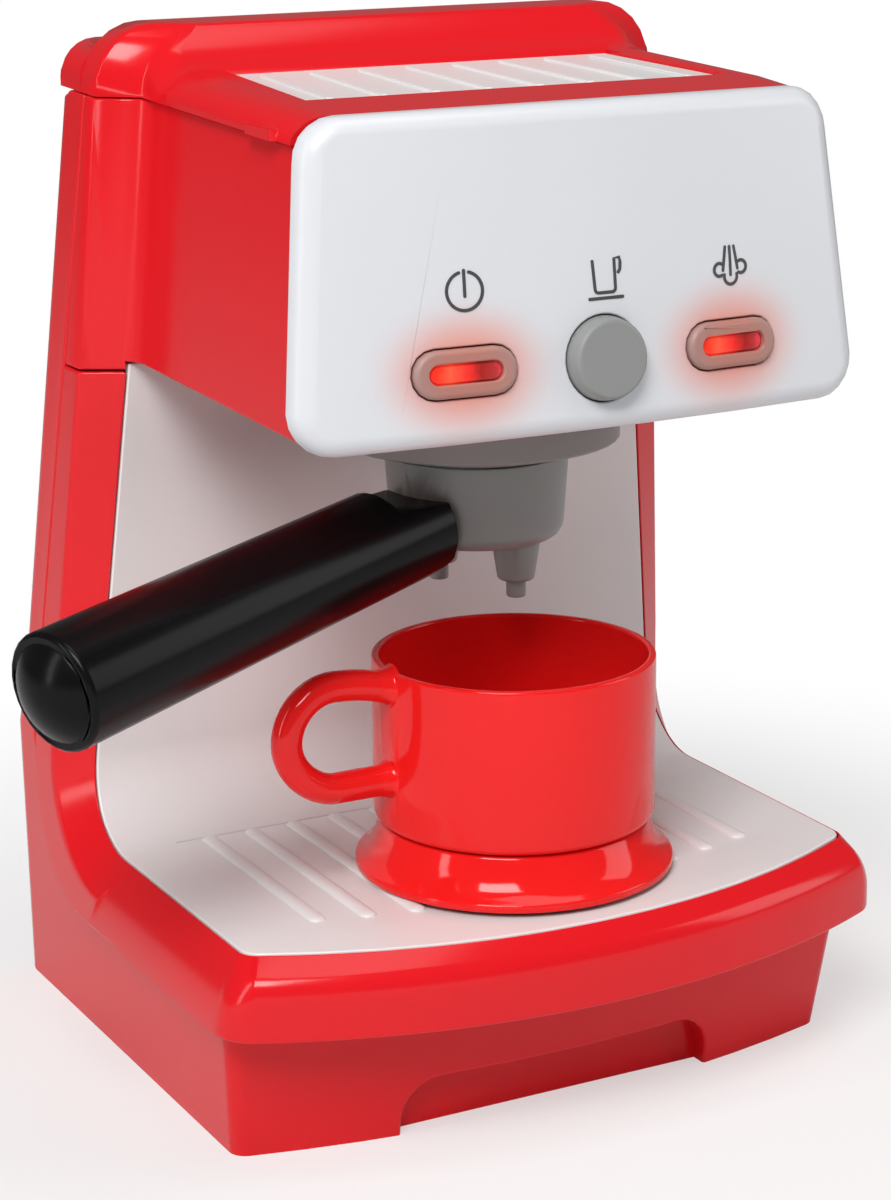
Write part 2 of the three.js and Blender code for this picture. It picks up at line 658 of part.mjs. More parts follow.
// The two upper screws lie along Y: a form made along Z is laid down, its far end to the front
const laidToFront = (geometry, x) => geometry.rotateX(Math.PI / 2).translate(x, 0, HEAD_POST_HEIGHT);
const seamY = (height) => {
  const { topY, footY, level } = SEAM_CURVE;
  return topY + ((footY - topY) * (HEAD_SEAM - height)) / (HEAD_SEAM - level);
};
const headSeamY = (height) => tapered(SEAM_CURVE.topY, HEAD_TOP_SEAM_Y, HEAD_SEAM, LID_SEAM, height);
const lugFace = headSeamY(HEAD_POST_HEIGHT + LUG_RADIUS) - GAP;

// Surround

// Points round the crease, which a small roll leaves crisp and a large one softens
function rolledCrease(seam, crease, edge, roll) {
  const start = crease.at.clone().lerp(seam.at, roll);
  const end = crease.at.clone().lerp(edge.at, roll);
  return Array.from({ length: ROLL_STEPS + 1 }, (_, i) => {
    const share = i / ROLL_STEPS;
    const inner = start.clone().lerp(crease.at, share);
    const outer = crease.at.clone().lerp(end, share);
    return inner.lerp(outer, share);
  });
}

function frameRing(seam, crease, edge, inward, roll) {
  const from = (station, across, out) =>
    station.at.clone().addScaledVector(inward, across).addScaledVector(station.out, out);
  const under = -TRAY_THICK - GAP;
  return [
    from(seam, 0, 0),
    ...rolledCrease(seam, crease, edge, roll),
    from(edge, 0, 0),
    from(edge, 0, under),
    from(edge, TRAY_LEDGE, under),
    from(edge, TRAY_LEDGE, under - WALL),
    from(crease, WALL * (1 + roll), -WALL * roll),
    from(seam, WALL, WALL),
    from(seam, FLANGE, WALL),
    from(seam, FLANGE, 0),
  ];
}

function frameSide(side) {
  const lines = [SEAM_CURVE, CREASE_CURVE, EDGE_CURVE].map((curve) => bentLine(curve, HEAD_SEAM));
  const halves = [bodyHalf, bodyHalf, edgeHalf];
  return lines[0].map((_, i) => {
    const [seam, crease, edge] = lines.map((line, k) => ({
      at: new THREE.Vector3(side * halves[k](line[i].at.y), line[i].at.x, line[i].at.y),
      out: new THREE.Vector3(0, line[i].normal.x, line[i].normal.y),
    }));
    const roll = i === lines[0].length - 1 ? SIDE_ROLL_SHARE : COLUMN_ROLL_SHARE;
    return frameRing(seam, crease, edge, new THREE.Vector3(-side, 0, 0), roll);
  });
}

// Round a front corner the crease climbs from the side's level to the front's, and its roll tightens
function frameFront() {
  const outer = bowedFront(BODY_HALF, RIM_CORNER_Y, RIM_BOW, RIM_CORNER_RADIUS);
  const inner = bowedFront(EDGE_HALF, TRAY_CORNER_Y, TRAY_BOW, TRAY_CORNER_RADIUS);
  const frontCrease = EDGE_CURVE.level - RIM_CREASE_DROP;
  return outer.map(([x, y], i) => {
    const turned = Math.min(1, i / CORNER_STEPS, (outer.length - 1 - i) / CORNER_STEPS);
    const station = (u, v, height) => ({ at: new THREE.Vector3(u, v, height), out: UP });
    const inward = new THREE.Vector3(inner[i][0] - x, inner[i][1] - y, 0).normalize();
    return frameRing(
      station(x, y, SEAM_CURVE.level),
      station(x, y, CREASE_CURVE.level + (frontCrease - CREASE_CURVE.level) * turned),
      station(...inner[i], EDGE_CURVE.level),
      inward,
      SIDE_ROLL_SHARE + (FRONT_ROLL_SHARE - SIDE_ROLL_SHARE) * turned,
    );
  });
}

function makeFrame() {
  const ring = loft([...frameSide(-1), ...frameFront(), ...frameSide(1).reverse()]);
  const low = SEAM_CURVE.level;
  const lugs = basePosts.flatMap(([x, y]) => {
    const side = Math.sign(x);
    const ends = [x, side * (BODY_HALF - FLANGE + WALL)].sort((a, b) => a - b);
    return [
      solid(rod(LUG_RADIUS, low, low + LUG_HEIGHT, 16, x, y)),
      solid(block(...ends, y - LUG_RADIUS / 2, y + LUG_RADIUS / 2, low, low + WALL)),
    ];
  });
  const holeTop = low + LUG_HEIGHT - LUG_FLOOR;
  const holes = basePosts.map(([x, y]) => solid(screwHole(low - OVERRUN, holeTop, x, y)));
  const cutHeight = HEAD_SEAM - GAP;
  const above = block(-BODY_HALF, BODY_HALF, RIM_CORNER_Y, BACK_FOOT_Y, cutHeight, cutHeight + OVERRUN);
  return cut(join(solid(ring), ...lugs), solid(above), ...holes);
}

// White tray and back wall

function makeLiner() {
  const face = bentLine(EDGE_CURVE, LINER_TOP);
  const back = bentLine(EDGE_CURVE, LINER_TOP, -TRAY_THICK);
  const frontY = TRAY_CORNER_Y - TRAY_BOW - OVERRUN;
  const outline = [
    ...face.map(({ at }) => at.toArray()),
    [frontY, EDGE_CURVE.level],
    [frontY, EDGE_CURVE.level - TRAY_THICK],
    ...back.map(({ at }) => at.toArray()).reverse(),
  ];
  const low = EDGE_CURVE.level - OVERRUN;
  const heights = [low, ...face.map(({ at }) => at.y).reverse()];
  const front = heights.map((z) => [edgeHalf(z) - GAP, z]);
  const mirror = front.map(([x, z]) => [-x, z]).reverse();
  const plan = bowedFront(EDGE_HALF - GAP, TRAY_CORNER_Y + GAP, TRAY_BOW, TRAY_CORNER_RADIUS);
  const planBack = EDGE_CURVE.footY + OVERRUN;
  const footprint = [...plan, [EDGE_HALF - GAP, planBack], [GAP - EDGE_HALF, planBack]];
  const plate = overlap(
    solid(alongX(outline, -BODY_HALF, BODY_HALF)),
    solid(alongY([...front, ...mirror], frontY - OVERRUN, planBack)),
    solid(alongZ(footprint, low, LINER_TOP + OVERRUN)),
  );
  return join(plate, ...trayRibs());
}

function trayRibs() {
  const middle = (RIB_COUNT - 1) / 2;
  const ribBack = EDGE_CURVE.footY - RIB_BACK_SETBACK;
  return Array.from({ length: RIB_COUNT }, (_, i) => {
    const share = (i - middle) / middle;
    const frontY = TRAY_CORNER_Y + RIB_FRONT_INSET + RIB_FRONT_SWEEP * share * share;
    const half = (ribBack - frontY) / 2;
    const low = EDGE_CURVE.level - TRAY_THICK / 2;
    const rib = alongZ(stadium(half, RIB_WIDTH / 2, 4), low, EDGE_CURVE.level + RIB_RISE);
    rib.rotateZ(Math.PI / 2).translate((i - middle) * RIB_PITCH, frontY + half, 0);
    return solid(rib);
  });
}

// Rear shell

function backY(height) {
  const low = height < BACK_KNEE_HEIGHT;
  const [y0, z0] = low ? [BACK_FOOT_Y, 0] : [BACK_KNEE_Y, BACK_KNEE_HEIGHT];
  const [y1, z1] = low ? [BACK_KNEE_Y, BACK_KNEE_HEIGHT] : [BACK_TOP_Y, LID_SEAM];
  return y0 + ((y1 - y0) * (height - z0)) / (z1 - z0);
}

function shellRing(height, inset) {
  const share = Math.min(1, height / TUB_TOP);
  const tubHalf = TUB_LOW_HALF + ((TUB_TOP_HALF - TUB_LOW_HALF) * height) / TUB_TOP;
  const half = Math.min(tubHalf, bodyHalf(height)) - inset;
  const cornerY = TUB_LOW_CORNER_Y + (TUB_TOP_CORNER_Y - TUB_LOW_CORNER_Y) * share + inset;
  const rear = backY(height) - inset;
  const round = BACK_CORNER_RADIUS - inset;
  return [
    ...bowedFront(half, cornerY, TUB_BOW, TUB_CORNER_RADIUS - inset),
    ...arc(half - round, rear - round, round, 0, Math.PI / 2, CORNER_STEPS),
    ...arc(round - half, rear - round, round, Math.PI / 2, Math.PI, CORNER_STEPS),
  ].map(([x, y]) => new THREE.Vector3(x, y, height));
}

// Everything in front of the seam, and above the top edge, that the shell leaves to other pieces
function shellTrim() {
  const top = LID_SEAM + OVERRUN;
  const line = bentLine(SEAM_CURVE, HEAD_SEAM - GAP, -GAP).map(({ at }) => at.toArray());
  const frontY = RIM_CORNER_Y - RIM_BOW - OVERRUN;
  const seam = [
    [frontY, TUB_TOP], [frontY, top], [headSeamY(top) + GAP, top],
    [headSeamY(HEAD_SEAM) + GAP, HEAD_SEAM], ...line,
  ];
  const stepY = CHEEK_Y + GAP;
  const lid = [
    [frontY, lidSeam(frontY) - GAP], [stepY, lidSeam(stepY) - GAP],
    [stepY, lidSeam(stepY) - BACK_SEAM_GAP], [BACK_FOOT_Y, lidSeam(BACK_FOOT_Y) - BACK_SEAM_GAP],
    [BACK_FOOT_Y, top + OVERRUN], [frontY, top + OVERRUN],
  ];
  return join(
    solid(alongX(seam, -BODY_HALF - OVERRUN, BODY_HALF + OVERRUN)),
    solid(alongX(lid, -BODY_HALF - OVERRUN, BODY_HALF + OVERRUN)),
  );
}

const bayHalfX = CELL_LENGTH / 2 + CONTACT_THICK + 3 * GAP;
const bayHalfY = 2 * CELL_RADIUS + GAP / 2 + BAY_SIDE_ROOM;
const cellLow = DOOR_RECESS + DOOR_THICK + GAP;
const bayTop = cellLow + 2 * CELL_RADIUS + GAP;
const bayFront = BAY_CENTRE_Y - bayHalfY;
const bayBack = BAY_CENTRE_Y + bayHalfY;
const doorFront = bayFront - DOOR_LEDGE - DOOR_TONGUE;
const doorScrewY = bayFront - DOOR_TONGUE / 2 - DOOR_LEDGE / 2;

function shellFittings() {
  const rearFace = backY(HEAD_POST_HEIGHT);
  const ear = (x) => {
    const outline = [
      [HINGE_Y - EAR_RADIUS, EAR_FOOT],
      [HINGE_Y + EAR_RADIUS, EAR_FOOT],
      ...arc(HINGE_Y, HINGE_HEIGHT, EAR_RADIUS, 0, Math.PI, 6),
    ];
    return solid(alongX(outline, x - EAR_WIDTH / 2, x + EAR_WIDTH / 2));
  };
  const toe = roundedBox(
    -TOE_HALF - WALL, TOE_HALF + WALL, -2 * TOE_CORNER_RADIUS, TOE_HEIGHT + WALL,
    TOE_CORNER_RADIUS + WALL, CORNER_STEPS,
  );
  const toeBox = overlap(
    solid(alongY(toe, TUB_TOP_CORNER_Y - TUB_BOW - OVERRUN, TOE_BACK_Y + WALL)),
    solid(loft([0, TUB_TOP].map((height) => shellRing(height, 0)))),
  );
  return [
    ...basePosts.map(([x, y]) => solid(rod(POST_RADIUS, FLOOR / 2, TUB_TOP, 16, x, y))),
    ...[-1, 1].map((side) => {
      const post = rod(POST_RADIUS, -rearFace + WALL / 2, -lugFace - GAP, 16);
      return solid(laidToFront(post, side * HEAD_POST_X));
    }),
    ...[-1, 1].map((side) => ear(side * EAR_X)),
    toeBox,
    solid(block(
      -bayHalfX - DOOR_LEDGE - WALL, bayHalfX + DOOR_LEDGE + WALL,
      doorFront - WALL, bayBack + DOOR_LEDGE + WALL, 0, bayTop + WALL,
    )),
  ];
}

function shellHoles() {
  const rearFace = backY(HEAD_POST_HEIGHT);
  const toe = roundedBox(
    -TOE_HALF, TOE_HALF, -2 * TOE_CORNER_RADIUS, TOE_HEIGHT, TOE_CORNER_RADIUS, CORNER_STEPS,
  );
  const grilles = Array.from({ length: GRILLE_COUNT }, (_, i) => {
    const y = SPEAKER_Y + (i - (GRILLE_COUNT - 1) / 2) * GRILLE_PITCH;
    const slot = alongZ(stadium(GRILLE_LENGTH / 2, GRILLE_WIDTH / 2, 3), -OVERRUN, FLOOR + OVERRUN);
    return solid(slot.translate(0, y, 0));
  });
  const earHoles = [-1, 1].map((side) => {
    const hole = rod(HINGE_PIN_RADIUS + GAP, -EAR_WIDTH, EAR_WIDTH, 12).rotateY(Math.PI / 2);
    return solid(hole.translate(side * EAR_X, HINGE_Y, HINGE_HEIGHT));
  });
  return [
    solid(alongY(toe, TUB_TOP_CORNER_Y - TUB_BOW - OVERRUN, TOE_BACK_Y)),
    ...basePosts.map(([x, y]) => solid(screwHole(-OVERRUN, TUB_TOP + OVERRUN, x, y))),
    ...basePosts.map(([x, y]) => solid(headHole(-OVERRUN, postPocket, x, y))),
    ...[-1, 1].flatMap((side) => [
      solid(laidToFront(screwHole(-rearFace - OVERRUN, OVERRUN - lugFace), side * HEAD_POST_X)),
      solid(laidToFront(headHole(-rearFace - OVERRUN, -lugFace - GAP - POST_WEB), side * HEAD_POST_X)),
    ]),
    ...grilles,
    ...earHoles,
    solid(block(-bayHalfX, bayHalfX, bayFront, bayBack, -OVERRUN, bayTop)),
    solid(block(
      -bayHalfX - DOOR_LEDGE, bayHalfX + DOOR_LEDGE, doorFront, bayBack + DOOR_LEDGE,
      -OVERRUN, DOOR_RECESS + DOOR_THICK + GAP,
    )),
    solid(screwHole(0, DOOR_RECESS + DOOR_SCREW_LENGTH + GAP, 0, doorScrewY)),
  ];
}

function makeRearShell() {
  const levels = [TUB_TOP, BODY_TAPER_START, BACK_KNEE_HEIGHT, LID_SEAM + OVERRUN];
  const outer = loft([0, ...levels].map((height) => shellRing(height, 0)));
  const inner = loft([FLOOR, ...levels].map((height) => shellRing(height, WALL)));
  const walls = cut(solid(outer), solid(inner), shellTrim());
  return cut(join(walls, ...shellFittings()), ...shellHoles());
}

// Head shell

function headRing(height, inset, frontY, rearY) {
  const half = bodyHalf(height) - inset;
  const share = (height - HEAD_SEAM) / (LID_SEAM - HEAD_SEAM);
  const boxHalf = HEAD_LOW_HALF + (HEAD_TOP_HALF - HEAD_LOW_HALF) * share - inset;
  const step = Math.hypot(1, FACET_SLOPE_SHARE) - FACET_SLOPE_SHARE;
  const creaseY = CREASE_CURVE.topY + (HEAD_TOP_CREASE_Y - CREASE_CURVE.topY) * share + inset * step;
  const facetEnd = creaseY - (half - boxHalf) * FACET_SLOPE_SHARE;
  const lean = Math.atan(FACET_SLOPE_SHARE);
  const radius = HEAD_FILLET + inset;
  const reach = radius * Math.tan((Math.PI / 2 - lean) / 2);
  const fillet = arc(boxHalf + radius, facetEnd - reach, radius, Math.PI / 2 + lean, Math.PI, 4);
  const right = [[half, rearY], [half, creaseY], ...fillet, [boxHalf, frontY]];
  const left = right.map(([x, y]) => [-x, y]).reverse();
  return [...right, ...left].map(([x, y]) => new THREE.Vector3(x, y, height));
}

// The head's underside, raised by a distance, as the outline of what lies below it
function belowHead(rise) {
  const slope = (HEAD_FLOOR_BACK - HEAD_FLOOR_FRONT) / (HEAD_FLOOR_BACK_Y - HEAD_FLOOR_FRONT_Y);
  const frontY = HEAD_FLOOR_FRONT_Y - 4 * OVERRUN;
  const low = HEAD_SEAM - 4 * OVERRUN;
  const rearY = SEAM_CURVE.topY + 4 * OVERRUN;
  return [
    [frontY, low],
    [rearY, low],
    [rearY, HEAD_SEAM + GAP / 2 + rise],
    [HEAD_FLOOR_BACK_Y, HEAD_SEAM + GAP / 2 + rise],
    [HEAD_FLOOR_BACK_Y, HEAD_FLOOR_BACK + rise],
    [frontY, HEAD_FLOOR_BACK + rise - slope * (HEAD_FLOOR_BACK_Y - frontY)],
  ];
}

// The leaning plane where the head ends and the panel begins, as the outline of what lies before it
function beforeRim(back) {
  const slope = Math.tan(PANEL_LEAN);
  const at = (height) => PANEL_BASE_Y + slope * (height - PANEL_BASE_HEIGHT) + back;
  const low = HEAD_SEAM - 4 * OVERRUN;
  const high = LID_SEAM + 4 * OVERRUN;
  const frontY = PANEL_BASE_Y - 6 * OVERRUN;
  return [[frontY, low], [at(low), low], [at(high), high], [frontY, high]];
}

function makeHead() {
  const wide = BODY_HALF + OVERRUN;
  const levels = [HEAD_SEAM - OVERRUN, LID_SEAM + OVERRUN];
  const frontY = PANEL_BASE_Y - OVERRUN;
  const ringAt = (height, inset, run) => headRing(height, inset, frontY - run, headSeamY(height) + run);
  const outer = loft(levels.map((height) => ringAt(height, 0, 0)));
  const inner = loft(levels.map((height) => ringAt(height, WALL, OVERRUN)));
  const room = cut(solid(inner), solid(alongX(belowHead(WALL), -wide, wide)));
  const linerRoom = block(
    -EDGE_TOP_HALF - GAP, EDGE_TOP_HALF + GAP, HEAD_FLOOR_BACK_Y, EDGE_CURVE.topY + TRAY_THICK + 2 * GAP,
    HEAD_SEAM - OVERRUN, HEAD_FLOOR_BACK,
  );
  const top = [
    [frontY, lidSeam(frontY) - GAP], [BACK_FOOT_Y, lidSeam(BACK_FOOT_Y) - GAP],
    [BACK_FOOT_Y, LID_SEAM + 2 * OVERRUN], [frontY, LID_SEAM + 2 * OVERRUN],
  ];
  const walls = cut(
    solid(outer), room, solid(linerRoom),
    solid(alongX(belowHead(0), -wide, wide)),
    solid(alongX(top, -wide, wide)),
    solid(alongX(beforeRim(GAP), -wide, wide)),
    solid(rod(SPIGOT_RADIUS + GAP, HEAD_SEAM - OVERRUN, HEAD_FLOOR_BACK + OVERRUN, 32, 0, BREW_Y)),
  );
  const lugs = [-1, 1].flatMap((side) => {
    const ends = [side * HEAD_POST_X, side * (bodyHalf(HEAD_POST_HEIGHT) - WALL / 2)];
    ends.sort((a, b) => a - b);
    const lug = rod(LUG_RADIUS, -lugFace, HEAD_LUG_DEPTH - lugFace, 16);
    return [
      solid(laidToFront(lug, side * HEAD_POST_X)),
      solid(block(
        ...ends, lugFace - HEAD_LUG_DEPTH, lugFace,
        HEAD_POST_HEIGHT - LUG_RADIUS / 2, HEAD_POST_HEIGHT + LUG_RADIUS / 2,
      )),
    ];
  });
  const holes = [-1, 1].map((side) => {
    const hole = screwHole(-lugFace - OVERRUN, HEAD_LUG_DEPTH - LUG_FLOOR - lugFace);
    return solid(laidToFront(hole, side * HEAD_POST_X));
  });
  return cut(join(walls, ...lugs), ...holes);
}

// Lid with its arch

function lidRing(y, half, top, across, down, bottom) {
  const round = arc(0, 0, 1, 0, Math.PI / 2, LID_ROLL_STEPS)
    .map(([u, v]) => [half - across + across * u, top - down + down * v]);
  const right = [[half, bottom], ...round];
  const left = right.map(([x, z]) => [-x, z]).reverse();
  return [...right, ...left].map(([x, z]) => new THREE.Vector3(x, y, z));
}

// Stations from front to back: place, half-width, top, roll across, roll down and which way an inset moves
const lidStations = [
  [LID_FRONT_Y, LID_HALF, LID_FRONT_TOP, LID_ROLL_ACROSS, LID_ROLL_DOWN, 1],
  [LID_EDGE_Y, LID_HALF, LID_EDGE_TOP, LID_ROLL_ACROSS, LID_ROLL_DOWN, 0],
  [LID_BACK_Y, LID_HALF, LID_BACK_TOP, LID_ROLL_ACROSS, LID_ROLL_DOWN, 0],
  [ARCH_LOW_Y, LID_HALF, ARCH_LOW_TOP, LID_CORNER, LID_CORNER, 0],
  [ARCH_MID_Y, LID_HALF, ARCH_MID_TOP, LID_CORNER, LID_CORNER, 0],
  [ARCH_FRONT_Y, LID_HALF, ARCH_TOP - GAP, ARCH_CORNER, ARCH_CORNER, 1],
  [ARCH_SIDE_Y, ARCH_HALF, ARCH_TOP, ARCH_CORNER, ARCH_CORNER, 1],
  [ARCH_BACK_Y - GAP, ARCH_HALF, ARCH_TOP, ARCH_CORNER, ARCH_CORNER, -1],
  [ARCH_BACK_Y, ARCH_HALF, LID_TAIL_TOP, LID_CORNER, LID_CORNER, -1],
  [LID_TAIL_Y - LID_TAIL_CHAMFER, ARCH_HALF, LID_TAIL_TOP, LID_CORNER, LID_CORNER, -1],
  [
    LID_TAIL_Y, ARCH_HALF - LID_TAIL_CHAMFER, LID_TAIL_TOP - LID_TAIL_CHAMFER,
    LID_CORNER, LID_CORNER, -1,
  ],
];

function lidForm(inset, bottom) {
  return loft(lidStations.map(([y, half, top, across, down, way]) => {
    const deck = inset > 0 && y < ARCH_FRONT_Y ? LID_DECK : inset;
    const [innerAcross, innerDown] = [across, down].map((roll) => Math.max(roll - deck, inset / 2));
    return lidRing(y + way * inset, half - inset, top - deck, innerAcross, innerDown, bottom);
  }));
}

// A flat slab between a front and a back edge, whose top slopes and whose sides fan
function platform(frontHalf, backHalf, grow, low, high, left = -1, right = 1) {
  const ring = (y, half, top) => {
    const [x0, x1] = [left * half - grow, right * half + grow];
    return [[x0, top + low], [x1, top + low], [x1, top + high], [x0, top + high]]
      .map(([x, z]) => new THREE.Vector3(x, y, z));
  };
  return loft([
    ring(PLATE_FRONT_Y - grow, frontHalf, PLATE_FRONT_TOP),
    ring(PLATE_BACK_Y + grow, backHalf, PLATE_BACK_TOP),
  ]);
}

function makeLid() {
  const wide = BODY_HALF + OVERRUN;
  const low = LID_SEAM - 2 * OVERRUN;
  const below = [
    [LID_FRONT_Y - OVERRUN, low - OVERRUN], [LID_TAIL_Y + OVERRUN, low - OVERRUN],
    [LID_TAIL_Y + OVERRUN, lidSeam(LID_TAIL_Y + OVERRUN)],
    [LID_FRONT_Y - OVERRUN, lidSeam(LID_FRONT_Y - OVERRUN)],
  ];
  const pocket = platform(PLATE_FRONT_HALF, PLATE_BACK_HALF, GAP, -PLATE_THICK - GAP, OVERRUN);
  const shell = cut(solid(lidForm(0, low)), solid(lidForm(WALL, low - OVERRUN)), solid(pocket));
  const notch = (x) => solid(block(
    x - EAR_WIDTH / 2 - GAP, x + EAR_WIDTH / 2 + GAP,
    CHEEK_Y, LID_TAIL_Y + OVERRUN, low, HINGE_HEIGHT + EAR_RADIUS + 2 * GAP,
  ));
  const pinHole = (x) => {
    const half = EAR_WIDTH / 2 + GAP + CHEEK_WIDTH;
    const hole = rod(HINGE_PIN_RADIUS + GAP, -half - GAP, half + GAP, 12).rotateY(Math.PI / 2);
    return solid(hole.translate(x, HINGE_Y, HINGE_HEIGHT));
  };
  const cheeks = [-EAR_X, EAR_X].flatMap((x) => [-1, 1].map((side) => {
    const near = x + side * (EAR_WIDTH / 2 + GAP / 2);
    const ends = [near, x + side * (EAR_WIDTH / 2 + GAP + CHEEK_WIDTH)].sort((a, b) => a - b);
    return solid(block(...ends, CHEEK_Y, LID_TAIL_Y - WALL / 2, low, LID_TAIL_TOP - WALL / 2));
  }));
  const formed = overlap(join(shell, ...cheeks), solid(lidForm(0, low)));
  const lipFront = LID_FRONT_Y + LIP_SETBACK;
  const lip = alongZ(roundedBox(
    -LID_HALF - LIP_REACH, WALL - LID_HALF, lipFront, lipFront + LIP_LENGTH, LIP_REACH,
  ), lidSeam(lipFront) - GAP, lidSeam(lipFront) + LIP_HEIGHT);
  return cut(
    join(formed, solid(lip)),
    solid(alongX(below, -wide, wide)),
    ...[-EAR_X, EAR_X].map(notch),
    ...[-EAR_X, EAR_X].map(pinHole),
  );
}

function hingePin(x) {
  const half = EAR_WIDTH / 2 + GAP + CHEEK_WIDTH;
  const pin = rod(HINGE_PIN_RADIUS, -half, half, 12).rotateY(Math.PI / 2);
  return solid(pin.translate(x, HINGE_Y, HINGE_HEIGHT));
}

function makeCupPlate() {
  const plate = solid(platform(PLATE_FRONT_HALF, PLATE_BACK_HALF, 0, -PLATE_THICK, 0));
  const frontRib = PLATE_RIB_WIDTH / (2 * PLATE_FRONT_HALF);
  const field = solid(block(
    -PLATE_FRONT_HALF, PLATE_FRONT_HALF, PLATE_FRONT_Y + PLATE_RIB_END, PLATE_BACK_Y - PLATE_RIB_END,
    PLATE_FRONT_TOP - OVERRUN, PLATE_BACK_TOP + OVERRUN,
  ));
  const ribs = Array.from({ length: PLATE_RIB_COUNT }, (_, i) => {
    const middle = ((2 * i) / (PLATE_RIB_COUNT - 1) - 1) * PLATE_RIB_SPREAD_SHARE;
    const strip = platform(
      PLATE_FRONT_HALF, PLATE_BACK_HALF, 0, -PLATE_THICK / 2, PLATE_RIB_RISE,
      middle - frontRib, middle + frontRib,
    );
    return overlap(solid(strip), field);
  });
  return join(plate, ...ribs);
}

function makeTank() {
  const outer = roundedBox(-TANK_HALF, TANK_HALF, TANK_FRONT_Y, TANK_BACK_Y, TANK_CORNER);
  const inner = roundedBox(
    TANK_WALL - TANK_HALF, TANK_HALF - TANK_WALL, TANK_FRONT_Y + TANK_WALL, TANK_BACK_Y - TANK_WALL,
    TANK_CORNER - TANK_WALL,
  );
  return cut(
    solid(alongZ(outer, TANK_LOW, TANK_TOP)),
    solid(alongZ(inner, TANK_LOW + TANK_WALL, TANK_TOP + OVERRUN)),
  );
}

// Front panel and controls, in the panel's own frame

const controls = new THREE.Group();
controls.position.set(0, PANEL_BASE_Y, PANEL_BASE_HEIGHT);
controls.rotation.x = -PANEL_LEAN;
part.add(controls);

const panelHalf = (height) => PANEL_LOW_HALF + ((PANEL_TOP_HALF - PANEL_LOW_HALF) * height) / PANEL_HEIGHT;

function panelDepth(x, height) {
  const share = Math.min(1, Math.abs(x) / panelHalf(height));
  return PANEL_EDGE_DEPTH + PANEL_BULGE * (1 - share * share);
}

// The panel's outline drawn in by an inset, with points along its long edges that follow the bulge
function panelOutline(inset) {
  const radius = Math.max(PANEL_CORNER - inset, GAP);
  const corner = (side, height, from) => {
    const x = side * (panelHalf(height) - inset - radius);
    return arc(x, height, radius, from, from + Math.PI / 2, CORNER_STEPS);
  };
  const edge = (from, to, height) => Array.from({ length: PANEL_EDGE_STEPS - 1 }, (_, i) => {
    const share = (i + 1) / PANEL_EDGE_STEPS;
    return [from + (to - from) * share, height];
  });
  const low = corner(-1, inset + radius, Math.PI);
  const lowRight = corner(1, inset + radius, (3 * Math.PI) / 2);
  const high = corner(1, PANEL_HEIGHT - inset - radius, 0);
  const highLeft = corner(-1, PANEL_HEIGHT - inset - radius, Math.PI / 2);
  return [
    ...low, ...edge(low.at(-1)[0], lowRight[0][0], inset), ...lowRight,
    ...high, ...edge(high.at(-1)[0], highLeft[0][0], PANEL_HEIGHT - inset), ...highLeft,
  ];
}

function panelForm(inset, rounding, backFace, steps) {
  const ring = (extra, depthOf) => panelOutline(inset + extra)
    .map(([x, height]) => new THREE.Vector3(x, -depthOf(x, height), height));
  const front = (x, height) => panelDepth(x, height) - inset;
  const rounds = Array.from({ length: steps + 1 }, (_, i) => {
    const angle = (Math.PI / 2) * (i / steps);
    const extra = rounding * (1 - Math.cos(angle));
    return ring(extra, (x, height) => front(x, height) - rounding * (1 - Math.sin(angle)));
  });
  return loft([ring(0, () => backFace), ...rounds], stripFaces(panelOutline(0).length));
}

// Frames of the three buttons: origin at the panel's back rim, -Y square out of the panel's face
const bowSlope = (2 * PANEL_BULGE * BUTTON_SPACING) / panelHalf(BUTTON_ROW) ** 2;
const sideTurn = Math.atan(bowSlope);
const sideDepth = panelDepth(BUTTON_SPACING, BUTTON_ROW);
const roundDepth = panelDepth(0, BUTTON_ROW);

function buttonFrame(side) {
  const frame = new THREE.Group();
  const depth = side === 0 ? roundDepth : sideDepth;
  const turn = side * sideTurn;
  const x = side * BUTTON_SPACING - depth * Math.sin(turn);
  frame.position.set(x, depth * (Math.cos(turn) - 1), BUTTON_ROW);
  frame.rotation.z = turn;
  frame.updateMatrix();
  controls.add(frame);
  return frame;
}

const frames = { power: buttonFrame(-1), brew: buttonFrame(0), steam: buttonFrame(1) };

// A prism that stands along the depth of the panel, from a shallow to a deep distance forward
const forward = (points, from, to) => alongY(points, -to, -from);

function makePanel() {
  const boardPosts = boardCorners.map(([x, height]) => {
    const post = rod(BOARD_POST_RADIUS, GAP - BOARD_SETBACK, panelDepth(x, height) - WALL / 2, 12);
    return solid(facingFront(post, x, height));
  });
  const postHoles = boardCorners.map(([x, height]) => {
    const bottom = BOARD_SCREW_LENGTH - BOARD_SETBACK - BOARD_THICK;
    const hole = rod(SCREW_RADIUS + GAP, -BOARD_SETBACK - OVERRUN, bottom, 12);
    return solid(facingFront(hole, x, height));
  });
  const reach = roundDepth + OVERRUN;
  const oblong = forward(stadium(OBLONG_HALF + GAP, OBLONG_RADIUS + GAP), 0, reach);
  const round = facingFront(rod(ROUND_RADIUS + GAP, 0, reach, 32), 0, 0);
  const shell = cut(
    solid(panelForm(0, PANEL_ROUNDING, 0, PANEL_ROUNDING_STEPS)),
    solid(panelForm(WALL, PANEL_INNER_ROUNDING, -OVERRUN, 2)),
  );
  return cut(
    join(shell, ...boardPosts),
    ...postHoles,
    solid(oblong, frames.power.matrix),
    solid(oblong, frames.steam.matrix),
    solid(round, frames.brew.matrix),
  );
}

const boardCorners = [BOARD_LOW + BOARD_POST_INSET, BOARD_HIGH - BOARD_POST_INSET]
  .flatMap((height) => [[-BOARD_POST_X, height], [BOARD_POST_X, height]]);

